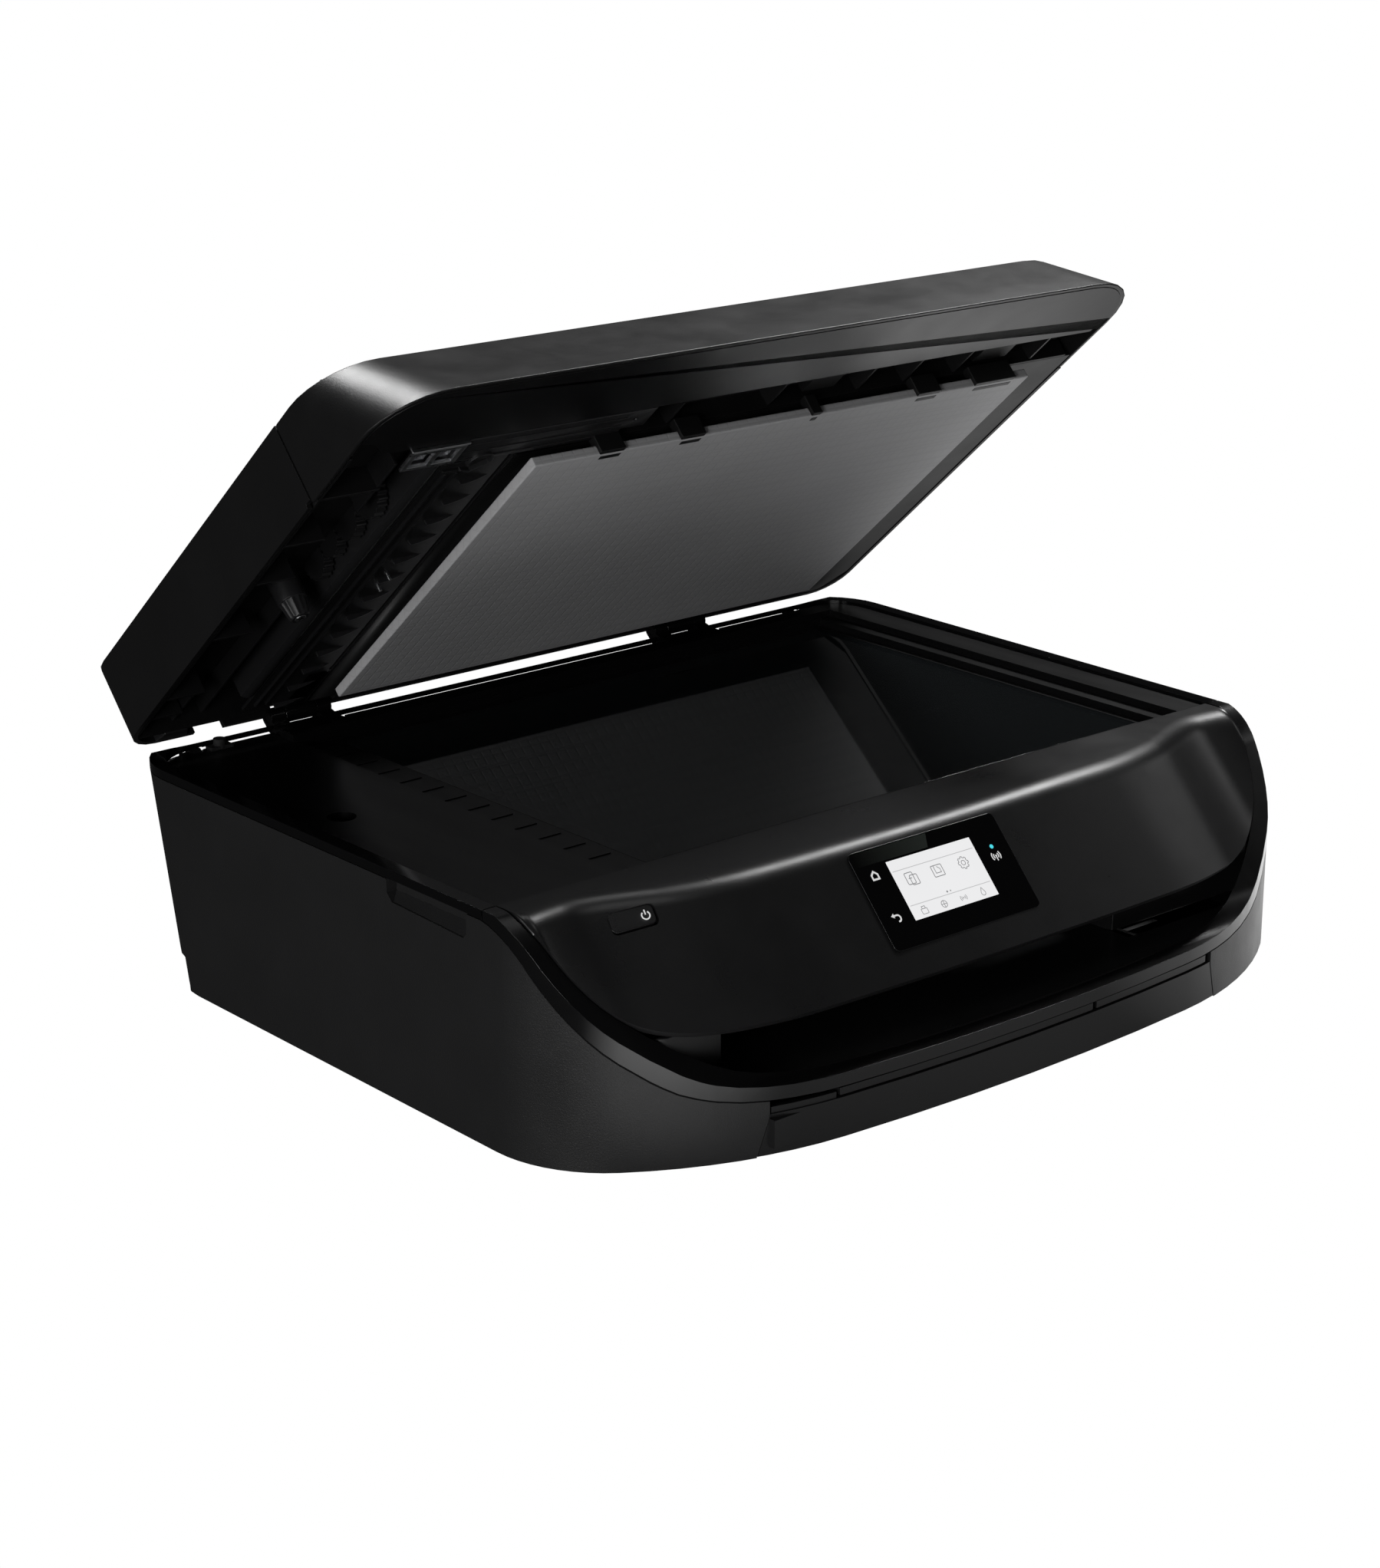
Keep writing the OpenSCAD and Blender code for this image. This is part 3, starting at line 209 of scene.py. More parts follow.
STEEL = metal("plated_steel", (0.56, 0.57, 0.58), 0.34, (1, 1, 8))
BRIGHT = metal("ground_steel", (0.7, 0.7, 0.72), 0.16, (0.05, 8, 8))
RUBBER = moulded("rubber", (0.02, 0.02, 0.02), 0.75, 700, 0.00012)
GREY_RUBBER = moulded("grey_rubber", (0.09, 0.09, 0.09), 0.7, 700, 0.00012)
ACETAL = moulded("acetal", (0.7, 0.7, 0.68), 0.4, 600, 0.00003)
CARTRIDGE = polished("cartridge_shell", (0.015, 0.015, 0.016), 0.2)
CARTRIDGE_BLUE = polished("cartridge_colour", (0.03, 0.12, 0.32), 0.2)
LATCH = moulded("latch_plastic", (0.025, 0.07, 0.17), 0.38, 1200, 0.00004)


def glass_material():
    """Clear float glass over a dark bay, with a very slight smear in its gloss."""
    m = material("platen_glass", (0.012, 0.014, 0.015), 0.04, IOR=1.52, Alpha=0.86)
    shader = m.node_tree.nodes["Principled BSDF"]
    link(m, ranged(m, noise(m, 9, 5), "Fac", 0.02, 0.07), "Result", shader, "Roughness")
    return m


def foam_material():
    """Laminated foam sheet: hexagonal emboss with painted shade in its grooves, fine fibre noise and a
    soft tone drift.
    """
    m = material("foam_sheet", (0.42, 0.42, 0.43), 0.72)
    shader = m.node_tree.nodes["Principled BSDF"]
    at = coords(m)
    cells = node(m, "ShaderNodeTexVoronoi", feature="DISTANCE_TO_EDGE", Scale=170.0, Randomness=0.0)
    skew = node(m, "ShaderNodeMapping")
    skew.inputs["Rotation"].default_value = (0, 0, 0)
    skew.inputs["Scale"].default_value = (1, 1.1547, 1)
    link(m, at, "Vector", skew, "Vector")
    link(m, skew, "Vector", cells, "Vector")
    edge = ranged(m, cells, "Distance", 0.0, 1.0, 0.0, 0.12)
    fibre = noise(m, 1400, 3)
    drift = noise(m, 7, 3)
    # painted shade: the colour is darker along the cell edges, which are the emboss grooves; the drift
    # adds a slow random tone
    tone = node(m, "ShaderNodeMixRGB")
    tone.inputs["Color1"].default_value = (0.5, 0.5, 0.51, 1)
    tone.inputs["Color2"].default_value = (0.68, 0.68, 0.69, 1)
    groove_shade_and_drift = node(m, "ShaderNodeMath", operation="MULTIPLY_ADD")
    link(m, edge, "Result", groove_shade_and_drift, 0)
    groove_shade_and_drift.inputs[1].default_value = 0.22
    link(m, drift, "Fac", groove_shade_and_drift, 2)
    link(m, groove_shade_and_drift, "Value", tone, "Fac")
    link(m, tone, "Color", shader, "Base Color")
    coarse = bump(m, edge, "Result", 0.00012, 0.7)
    bump(m, fibre, "Fac", 0.00008, 0.6, coarse)
    return m


def painted_sheen_material():
    """Painted sheen on the touch panel: a grey-green painted reflection in the base colour, fading to
    the left.
    """
    m = polished("painted_touch_sheen", (0.03, 0.034, 0.032), 0.12)
    ramp = node(m, "ShaderNodeMixRGB")
    ramp.inputs["Color1"].default_value = (0.005, 0.005, 0.005, 1)
    ramp.inputs["Color2"].default_value = (0.05, 0.058, 0.052, 1)
    split = node(m, "ShaderNodeSeparateXYZ")
    link(m, coords(m), "Vector", split, "Vector")
    link(m, ranged(m, split, "X", 0, 1, -0.058, -0.018), "Result", ramp, "Fac")
    link(m, ramp, "Color", m.node_tree.nodes["Principled BSDF"], "Base Color")
    return m


def glowing(name, colour, strength):
    """A lit display layer, a little uneven like a real backlight."""
    m = material(name, (0.0, 0.0, 0.0), 0.25)
    shader = m.node_tree.nodes["Principled BSDF"]
    shader.inputs["Emission Strength"].default_value = strength
    shade = node(m, "ShaderNodeMixRGB")
    shade.inputs["Color1"].default_value = (*[c * 0.96 for c in colour], 1)
    shade.inputs["Color2"].default_value = (*colour, 1)
    link(m, noise(m, 25, 2), "Fac", shade, "Fac")
    link(m, shade, "Color", shader, "Emission Color")
    return m


GLASS = glass_material()
FOAM = foam_material()
CIRCUIT = polished("solder_mask", (0.01, 0.1, 0.04), 0.3)
SCREEN = glowing("screen_white", (0.93, 0.93, 0.94), 0.92)
SCREEN_LINE = glowing("screen_line", (0.72, 0.72, 0.73), 0.75)
SCREEN_ICON = glowing("screen_icon", (0.36, 0.36, 0.37), 0.7)
KEY_LIGHT = glowing("key_print", (0.9, 0.9, 0.9), 0.75)
CYAN = glowing("cyan_led", (0.08, 0.75, 0.85), 1.0)
# painted sheen: a reflection on the touch panel painted into its colour
PAINTED_SHEEN = painted_sheen_material()

SLOT_MATERIAL = {
    "housing_black": HOUSING,
    "satin_black": SATIN,
    "gloss_black": GLOSS,
    "inner_black": INNER,
    "foam_grey": FOAM,
    "steel_plate": STEEL,
    "bright_steel": BRIGHT,
    "rubber_black": RUBBER,
    "rubber_grey": GREY_RUBBER,
    "white_plastic": ACETAL,
    "platen_glass": GLASS,
    "circuit_green": CIRCUIT,
    "cartridge_black": CARTRIDGE,
    "cartridge_blue": CARTRIDGE_BLUE,
    "latch_blue": LATCH,
}
NODE_MATERIAL = {
    "lid_front": LID_SKIN,
    "lid_shell": LID_SKIN,
    "adf_cover": LID_SKIN,
    "feeder_flap": LID_SKIN,
    "scan_deck": DECK,
    "trim_ring": TRIM,
}


# ---------------------------------------------------------------- carried-over CAD nodes
BEVEL = {
    "side_panel_left": 0.7,
    "side_panel_right": 0.7,
    "rear_cover": 0.6,
    "base_pan": 0.6,
    "trim_ring": 0.7,
    "scan_rim": 1.1,
    "scan_deck": 0.7,
    "paper_tray": 0.7,
    "output_extender": 0.6,
    "output_shelf": 0.5,
    "bay_liner": 0.6,
    "lid_front": 1.0,
    "lid_shell": 0.9,
    "lid_base": 0.5,
    "adf_cover": 0.8,
    "feeder_flap": 0.7,
    "hinge_brackets": 0.5,
    "hinge_arms": 0.5,
    "feet": 0.8,
    "power_button": 0.5,
    "touch_panel": 0.35,
    "print_carriage": 0.6,
}
NO_BEVEL = {"control_panel", "scan_rail", "screws", "scan_pinion", "drive_gear", "star_wheels"}


def finish_mesh(obj, width, angle=30):
    """Weld, drop the flat triangulation, round the sharp edges and smooth what is curved."""
    weld = obj.modifiers.new("weld", "WELD")
    weld.merge_threshold = 1e-5
    if width:
        flat = obj.modifiers.new("flat", "DECIMATE")
        flat.decimate_type = "DISSOLVE"
        flat.angle_limit = math.radians(0.6)
        edge = obj.modifiers.new("edge", "BEVEL")
        edge.width = width * MM
        edge.segments = 2
        edge.limit_method = "ANGLE"
        edge.angle_limit = math.radians(angle)
        edge.use_clamp_overlap = True
        edge.harden_normals = False
    for p in obj.data.polygons:
        p.use_smooth = True
    sharp = obj.modifiers.new("normals", "WEIGHTED_NORMAL")
    sharp.keep_sharp = True
    sharp.weight = 50


def dress_nodes():
    slots = {s["node"]: s["material_slot"] for s in frame["record"]["subparts"]}
    for name, obj in frame["nodes"].items():
        chosen = NODE_MATERIAL.get(name, SLOT_MATERIAL[slots[name]])
        for s in obj.material_slots:
            s.material = chosen
        if not obj.material_slots:
            obj.data.materials.append(chosen)
        finish_mesh(obj, 0 if name in NO_BEVEL else BEVEL.get(name, 0.3))


dress_nodes()


# ---------------------------------------------------------------- camera, stage and lights
VIEW_FROM = (-40.65, 18.23)  # degrees round from the front, degrees up
VIEW_AT = (38.2, 270.3, 60)  # in the printer frame
VIEW_DISTANCE = 1.6089  # metres


def towards(azimuth, rise):
    """Direction at these angles in degrees, round from the front to the right, and up."""
    a = math.radians(azimuth)
    e = math.radians(rise)
    return Vector((math.sin(a) * math.cos(e), -math.cos(a) * math.cos(e), math.sin(e)))


def camera():
    back = towards(*VIEW_FROM)
    aim = BASE @ Vector(VIEW_AT)
    data = bpy.data.cameras.new("camera")
    cam = bpy.data.objects.new("camera", data)
    bpy.context.scene.collection.objects.link(cam)
    cam.location = aim + back * VIEW_DISTANCE
    cam.rotation_mode = "QUATERNION"
    cam.rotation_quaternion = (-back).to_track_quat("-Z", "Y")
    data.sensor_width = 36
    data.lens = 75.24
    data.clip_start = 0.05
    data.clip_end = 50
    bpy.context.scene.camera = cam


def stage():
    """A pale floor. To the camera it is plain white; for the object it is lit in soft pools."""
    bm = bmesh.new()
    size = 6.0
    signs = ((-1, -1), (1, -1), (1, 1), (-1, 1))
    bm.faces.new([bm.verts.new((x * size, y * size, 0)) for x, y in signs])
    mesh = bpy.data.meshes.new("floor")
    bm.to_mesh(mesh)
    bm.free()
    floor = bpy.data.objects.new("floor", mesh)
    bpy.context.scene.collection.objects.link(floor)
    m = bpy.data.materials.new("floor_white")
    m.use_nodes = True
    m.node_tree.nodes.remove(m.node_tree.nodes["Principled BSDF"])
    seen = node(m, "ShaderNodeEmission", Strength=1.0)
    glow = node(m, "ShaderNodeEmission")
    at = node(m, "ShaderNodeTexCoord")
    total = None
    for place, inner, outer, strength in FLOOR_GLOW:
        away = node(m, "ShaderNodeVectorMath", operation="DISTANCE")
        link(m, at, "Object", away, 0)
        away.inputs[1].default_value = (*place, 0)
        pool = ranged(m, away, "Value", strength, 0, inner, outer)
        if total is None:
            total = (pool, "Result")
            continue
        both = node(m, "ShaderNodeMath", operation="ADD")
        link(m, *total, both, 0)
        link(m, pool, "Result", both, 1)
        total = (both, "Value")
    link(m, *total, glow, "Strength")
    path = node(m, "ShaderNodeLightPath")
    mix = node(m, "ShaderNodeMixShader")
    link(m, path, "Is Camera Ray", mix, "Fac")
    m.node_tree.links.new(glow.outputs[0], mix.inputs[1])
    m.node_tree.links.new(seen.outputs[0], mix.inputs[2])
    m.node_tree.links.new(mix.outputs[0], m.node_tree.nodes["Material Output"].inputs["Surface"])
    mesh.materials.append(m)
    floor.location.z = -0.0005


def world():
    w = bpy.data.worlds.new("studio")
    bpy.context.scene.world = w
    w.use_nodes = True
    tree = w.node_tree
    dim = tree.nodes["Background"]
    dim.inputs["Color"].default_value = (1, 1, 1, 1)
    dim.inputs["Strength"].default_value = 0.008
    white = tree.nodes.new("ShaderNodeBackground")
    white.inputs["Color"].default_value = (1, 1, 1, 1)
    white.inputs["Strength"].default_value = 1.0
    path = tree.nodes.new("ShaderNodeLightPath")
    mix = tree.nodes.new("ShaderNodeMixShader")
    tree.links.new(path.outputs["Is Camera Ray"], mix.inputs["Fac"])
    tree.links.new(dim.outputs[0], mix.inputs[1])
    tree.links.new(white.outputs[0], mix.inputs[2])
    tree.links.new(mix.outputs[0], tree.nodes["World Output"].inputs["Surface"])
    bpy.context.scene.view_settings.view_transform = "Standard"
    bpy.context.scene.view_settings.look = "None"


def softbox(name, place, aim, width, height, power):
    data = bpy.data.lights.new(name, "AREA")
    data.shape = "RECTANGLE"
    data.size = width
    data.size_y = height
    data.energy = power
    lamp = bpy.data.objects.new(name, data)
    bpy.context.scene.collection.objects.link(lamp)
    lamp.location = place
    lamp.rotation_mode = "QUATERNION"
    lamp.rotation_quaternion = (Vector(aim) - Vector(place)).to_track_quat("-Z", "Y")
    lamp.visible_camera = False


# pools of light on the floor: place, radius of the bright middle, radius where it ends, strength
FLOOR_GLOW = (
    ((0, -0.5), 0.2, 0.45, 0.3),
    ((-0.24, -0.31), 0.03, 0.13, 1.7),
    ((0.36, -0.08), 0.1, 0.3, 1.5),
    ((0, 0), 2.0, 3.0, 0.02),
)
MIDDLE = Vector((0, 0, 0.12))


# softboxes: name, degrees round from the front, degrees up, width, height, watts
LAMPS = (
    ("left_low", -60, 6, 0.7, 0.5, 9.3),
    ("left", -90, 6, 0.7, 0.5, 5.3),
    ("back_high", 180, 48, 0.7, 0.5, 19.1),
    ("bend_light", 112, 46, 0.55, 0.4, 19.0),
    ("right_top", 135, 70, 0.7, 0.5, 3.4),
    ("front_top", 15, 70, 0.7, 0.5, 1.4),
    ("right_low", 75, 25, 0.7, 0.5, 0.94),
)
LAMP_DISTANCE = 2.0


camera()
stage()
world()
for name, azimuth, rise, width, height, power in LAMPS:
    softbox(name, MIDDLE + towards(azimuth, rise) * LAMP_DISTANCE, MIDDLE, width, height, power)


# ---------------------------------------------------------------- mesh helpers
def built(name, bm, look, body, where=BASE, width=0.0, angle=30):
    """Turns a bmesh in frame units into a piece of the object that rides on body."""
    bmesh.ops.remove_doubles(bm, verts=bm.verts, dist=0.002)
    bmesh.ops.recalc_face_normals(bm, faces=bm.faces)
    mesh = bpy.data.meshes.new(name)
    bm.to_mesh(mesh)
    bm.free()
    mesh.transform(where)
    if where.determinant() < 0:
        mesh.flip_normals()
    mesh.materials.append(look)
    obj = bpy.data.objects.new(name, mesh)
    bpy.context.scene.collection.objects.link(obj)
    for p in mesh.polygons:
        p.use_smooth = True
    if width:
        edge = obj.modifiers.new("edge", "BEVEL")
        edge.width = width * MM
        edge.segments = 2
        edge.limit_method = "ANGLE"
        edge.angle_limit = math.radians(angle)
    normals = obj.modifiers.new("normals", "WEIGHTED_NORMAL")
    normals.keep_sharp = True
    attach(obj, body)
    return obj


def prism(bm, outline, z0, z1):
    """Adds a straight prism over a flat outline."""
    low = [bm.verts.new((x, y, z0)) for x, y in outline]
    high = [bm.verts.new((x, y, z1)) for x, y in outline]
    bm.faces.new(low[::-1])
    bm.faces.new(high)
    count = len(outline)
    for k in range(count):
        n = (k + 1) % count
        bm.faces.new((low[k], low[n], high[n], high[k]))


def joined(bm, near, far):
    """Adds a closed solid between two outlines with the same number of points."""
    a = [bm.verts.new(p) for p in near]
    b = [bm.verts.new(p) for p in far]
    bm.faces.new(a)
    bm.faces.new(b[::-1])
    count = len(a)
    for k in range(count):
        n = (k + 1) % count
        bm.faces.new((a[k], a[n], b[n], b[k]))


def block(bm, x0, x1, y0, y1, z0, z1):
    prism(bm, [(x0, y0), (x1, y0), (x1, y1), (x0, y1)], z0, z1)


def lid_block(bm, x0, x1, s0, s1, t0, t1):
    block(bm, x0, x1, -s1, -s0, t0, t1)


def polar(cx, cy, r, degrees):
    turn = math.radians(degrees)
    return (cx + r * math.cos(turn), cy + r * math.sin(turn))


def arc(cx, cy, r, a0, a1, n=8):
    return [polar(cx, cy, r, a0 + (a1 - a0) * k / n) for k in range(n + 1)]


def ring_points(cx, cy, r, n=24):
    return arc(cx, cy, r, 0, 360, n)[:-1]


def round_rect(x0, x1, y0, y1, r, n=5):
    return (
        arc(x0 + r, y0 + r, r, 180, 270, n)
        + arc(x1 - r, y0 + r, r, 270, 360, n)
        + arc(x1 - r, y1 - r, r, 0, 90, n)
        + arc(x0 + r, y1 - r, r, 90, 180, n)
    )


def disc(bm, cx, cy, r, z0, z1, n=24):
    prism(bm, ring_points(cx, cy, r, n), z0, z1)


def stroke(bm, points, width, z0, z1, closed=False):
    """A raised line of even width along a flat path, mitred at its corners."""
    pts = [Vector((*p, 0)) for p in points]
    count = len(pts)
    left, right = [], []
    for k, p in enumerate(pts):
        before = pts[k - 1] if (k or closed) else p
        after = pts[(k + 1) % count] if (k < count - 1 or closed) else p
        a = (p - before).normalized() if (p - before).length > 1e-9 else Vector((0, 0, 0))
        b = (after - p).normalized() if (after - p).length > 1e-9 else Vector((0, 0, 0))
        d = (a + b).normalized() if (a + b).length > 1e-9 else (a or b)
        across = Vector((-d.y, d.x, 0))
        lead = a if a.length else b
        bend = abs(across.dot(Vector((-lead.y, lead.x, 0))))
        across *= width / 2 / max(bend, 0.45)
        left.append(p + across)
        right.append(p - across)
    spans = count if closed else count - 1
    rows = [[bm.verts.new((q.x, q.y, z)) for q in side] for side in (left, right) for z in (z0, z1)]
    left_low, left_high, right_low, right_high = rows
    for k in range(spans):
        n = (k + 1) % count
        bm.faces.new((left_low[k], left_low[n], right_low[n], right_low[k]))
        bm.faces.new((left_high[n], left_high[k], right_high[k], right_high[n]))
        bm.faces.new((left_low[n], left_low[k], left_high[k], left_high[n]))
        bm.faces.new((right_low[k], right_low[n], right_high[n], right_high[k]))
    if not closed:
        for k in (0, count - 1):
            bm.faces.new((left_low[k], right_low[k], right_high[k], left_high[k]))


# ---------------------------------------------------------------- touch panel
FACE = 0.35  # height of the touch panel's face in the panel frame
SCREEN_AT = (-42.8, 7.1, 23.9, 52.2)


def touch_glass():
    bm = bmesh.new()
    prism(bm, round_rect(-60.6, 26.6, 13.2, 60.3, 3, 8), FACE - 3.6, FACE)
    glass = built("touch_glass", bm, GLOSS, "scanner_unit", PANEL, 0.3, 30)
    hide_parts("touch_panel")
    # soft grey-green sheen above the left half of the screen, painted into the colour as a painted
    # reflection
    bm = bmesh.new()
    prism(bm, [(-59, 53.2), (-17, 53.2), (-14.5, 59.6), (-58, 59.6)], FACE - 0.02, FACE + 0.02)
    built("touch_sheen", bm, PAINTED_SHEEN, "scanner_unit", PANEL)


def screen_pieces():
    x0, x1, v0, v1 = SCREEN_AT
    bm = bmesh.new()
    prism(bm, round_rect(x0, x1, v0, v1, 0.3), FACE - 0.1, FACE + 0.04)
    built("screen", bm, SCREEN, "scanner_unit", PANEL)
    top = FACE + 0.04
    bm = bmesh.new()
    for v in (v0 + 6.7, v1 - 5.1):
        stroke(bm, [(x0 + 1, v), (x1 - 1, v)], 0.35, top - 0.02, top + 0.02)
    built("screen_lines", bm, SCREEN_LINE, "scanner_unit", PANEL)
    bm = bmesh.new()
    low, high = top - 0.02, top + 0.03
    # copy: two overlapping sheets
    cx, cy = -33.5, 42
    stroke(bm, round_rect(cx - 3.2, cx + 1.2, cy - 2.4, cy + 3, 0.6, 3), 0.38, low, high, True)
    stroke(bm, round_rect(cx - 1.0, cx + 3.2, cy - 3, cy + 1.6, 0.6, 3), 0.38, low, high, True)
    stroke(bm, [(cx - 1.8, cy + 0.3), (cx + 0.1, cy + 0.3)], 0.38, low, high)
    # scan: sheet in a frame
    cx = -18.2
    stroke(bm, round_rect(cx - 3, cx + 3, cy - 2.6, cy + 2.6, 0.4, 3), 0.38, low, high, True)
    page = [(cx - 1.4, cy + 2.6), (cx - 1.4, cy - 1), (cx + 1.6, cy - 1), (cx + 1.6, cy + 0.8)]
    stroke(bm, page, 0.34, low, high)
    stroke(bm, [(cx + 0.2, cy + 1.9), (cx + 1.7, cy + 0.6)], 0.34, low, high)
    # settings: a toothed wheel round a hole
    cx = -2.8
    teeth = [
        (cx + r * math.cos(math.radians(a)), cy + r * math.sin(math.radians(a)))
        for k in range(8)
        for r, a in ((2.4, 45 * k - 14), (2.9, 45 * k - 8), (2.9, 45 * k + 8), (2.4, 45 * k + 14))
    ]
    stroke(bm, teeth, 0.36, low, high, True)
    stroke(bm, ring_points(cx, cy, 1.1, 16), 0.34, low, high, True)
    # page dots
    disc(bm, -19.1, v0 + 8, 0.5, low, high, 12)
    disc(bm, -17.1, v0 + 8, 0.36, low, high, 12)
    # shelf of four small icons
    sy = v0 + 3.2
    for cx in (-35.6, -23.9, -12.2, -0.6):
        if cx == -35.6:
            stroke(bm, round_rect(cx - 1.7, cx + 1.7, sy - 1.6, sy + 0.8, 0.3, 2), 0.3, low, high, True)
            sheet = [(cx + x, sy + y) for x, y in ((-0.9, 0.9), (-0.9, 1.9), (0.9, 1.9), (0.9, 0.9))]
            stroke(bm, sheet, 0.3, low, high)
        elif cx == -23.9:
            stroke(bm, ring_points(cx, sy, 1.6, 16), 0.32, low, high, True)
            stroke(bm, [(cx, sy + 1.6), (cx, sy - 1.6)], 0.3, low, high)
            stroke(bm, [(cx - 1.6, sy), (cx + 1.6, sy)], 0.3, low, high)
        elif cx == -12.2:
            for s in (-1, 1):
                stroke(bm, arc(cx, sy, 1.0, 90 - s * 45, 90 - s * 135, 6), 0.28, low, high)
                stroke(bm, arc(cx, sy, 1.8, 90 - s * 50, 90 - s * 130, 6), 0.28, low, high)
            disc(bm, cx, sy, 0.35, low, high, 10)
        else:
            drop = [(cx, sy + 2)] + arc(cx, sy - 0.5, 1.2, 30, -210, 12)
            stroke(bm, drop, 0.3, low, high, True)
    built("screen_icons", bm, SCREEN_ICON, "scanner_unit", PANEL)


def key_pieces():
    low, high = FACE - 0.02, FACE + 0.05
    bm = bmesh.new()
    cx, cy = -51.6, 47.9
    house = ((-1.7, -1.7), (1.7, -1.7), (1.7, 0.4), (0, 1.9), (-1.7, 0.4))
    stroke(bm, [(cx + x, cy + y) for x, y in house], 0.85, low, high, True)
    cx, cy = -51.8, 27.2
    stroke(bm, arc(cx + 0.7, cy, 1.5, -100, 90, 10) + [(cx - 1.2, cy + 1.5)], 0.75, low, high)
    prism(bm, [(cx - 2.5, cy + 1.5), (cx - 0.8, cy + 2.6), (cx - 0.8, cy + 0.4)], low, high)
    cx, cy = 16.5, 40.6
    for s in (-1, 1):
        stroke(bm, arc(cx, cy, 1.35, 90 - s * 42, 90 - s * 138, 8), 0.55, low, high)
        stroke(bm, arc(cx, cy, 2.5, 90 - s * 48, 90 - s * 132, 8), 0.55, low, high)
    stroke(bm, [(cx, cy + 0.2), (cx, cy - 2.3)], 0.5, low, high)
    disc(bm, cx, cy, 0.5, low, high, 12)
    built("touch_keys", bm, KEY_LIGHT, "scanner_unit", PANEL)
    bm = bmesh.new()
    disc(bm, 16.6, 45.2, 1.0, low, high + 0.03, 20)
    built("status_led", bm, CYAN, "scanner_unit", PANEL, 0.03)


def power_symbol():
    bm = bmesh.new()
    top = 0.2
    cx, cy = 5.6, 0.2
    stroke(bm, arc(cx, cy, 1.75, 128, 412, 18), 0.55, top - 0.03, top + 0.05)
    stroke(bm, [(cx, cy + 0.3), (cx, cy + 2.5)], 0.55, top - 0.03, top + 0.05)
    built("power_symbol", bm, KEY_LIGHT, "power_button", BUTTON)


touch_glass()
screen_pieces()
key_pieces()
power_symbol()


# ---------------------------------------------------------------- control panel
FRONT_R = 1205.0
SHOULDER_R = 190.0
FRONT_A = math.radians(5)
SHOULDER_A = math.radians(35)
SWOOSH = (51.9, 67.1, 36.0, math.radians(50.5))  # a point on the slope, its radius and its angle
SEAM_Z = RIM_Z - 4.5
TRIM_W = 6.3
PANEL_TOP = RIM_Z - 0.2
PANEL_BACK = 95.0
BEND_R = 18.0
SHELL_SHIFT = Vector((0, 1.6, -2.2))


def front_half(inset, n):
    """Plan outline of the front from the middle to the left side, moved in by inset."""
    end = (-FRONT_R * math.sin(FRONT_A), FRONT_R * (1 - math.cos(FRONT_A)))
    sc = (end[0] + SHOULDER_R * math.sin(FRONT_A), end[1] + SHOULDER_R * math.cos(FRONT_A))
    se = (sc[0] - SHOULDER_R * math.sin(SHOULDER_A), sc[1] - SHOULDER_R * math.cos(SHOULDER_A))
    cr = (HALF_W + se[0]) / (1 - math.sin(SHOULDER_A))
    cc = (se[0] + cr * math.sin(SHOULDER_A), se[1] + cr * math.cos(SHOULDER_A))
    a0, a1 = math.degrees(FRONT_A), math.degrees(SHOULDER_A)
    return (
        arc(0, FRONT_R, FRONT_R - inset, -90, -90 - a0, 2 * n)
        + arc(*sc, SHOULDER_R - inset, -90 - a0, -90 - a1, 3 * n)[1:]
        + arc(*cc, cr - inset, -90 - a1, -180, 3 * n)[1:]
    )


def lip_heights():
    """Side view of the panel's lower edge: level, a rising arc, the slope and an arc into the rim."""
    y0, z0, r, a = SWOOSH
    level = PANEL_LIP[1] - TRIM_W
    low_r = 25.0 + TRIM_W
    y_low = y0 - (z0 - level) / math.tan(a) - low_r * math.tan(a / 2)
    y_top = y0 + (SEAM_Z - z0) / math.tan(a) + r * math.tan(a / 2)
    deg = math.degrees(a)
    return (
        [(-20, level + TRIM_W)]
        + arc(y_low, level + low_r, low_r - TRIM_W, -90, -90 + deg, 14)
        + arc(y_top, SEAM_Z - r, r + TRIM_W, 90 + deg, 90, 14)
    )


def height_at(y, line):
    for (ya, za), (yb, zb) in zip(line, line[1:]):
        if y < yb:
            return za + (zb - za) * (y - ya) / (yb - ya)
    return line[-1][1]


def panel_profile(x, y, line):
    z = min(height_at(y, line), PANEL_TOP - 0.4)
    knee = y + (PANEL_TOP - z) / math.tan(PANEL_SLOPE)
    room = min(PANEL_BACK - 1 - knee, (PANEL_TOP - z) / math.sin(PANEL_SLOPE)) * 0.95
    t = min(BEND_R * math.tan(PANEL_SLOPE / 2), max(room, 0.05))
    r = t / math.tan(PANEL_SLOPE / 2)
    bend = arc(knee + t, PANEL_TOP - r, r, 90 + math.degrees(PANEL_SLOPE), 90, 14)
    slope = [(y + (bend[0][0] - y) * k / 12, z + (bend[0][1] - z) * k / 12) for k in range(12)]
    top = [(bend[-1][0] + (PANEL_BACK - bend[-1][0]) * k / 6, PANEL_TOP) for k in range(1, 7)]
    return [Vector((x, *p)) for p in slope + bend + top]


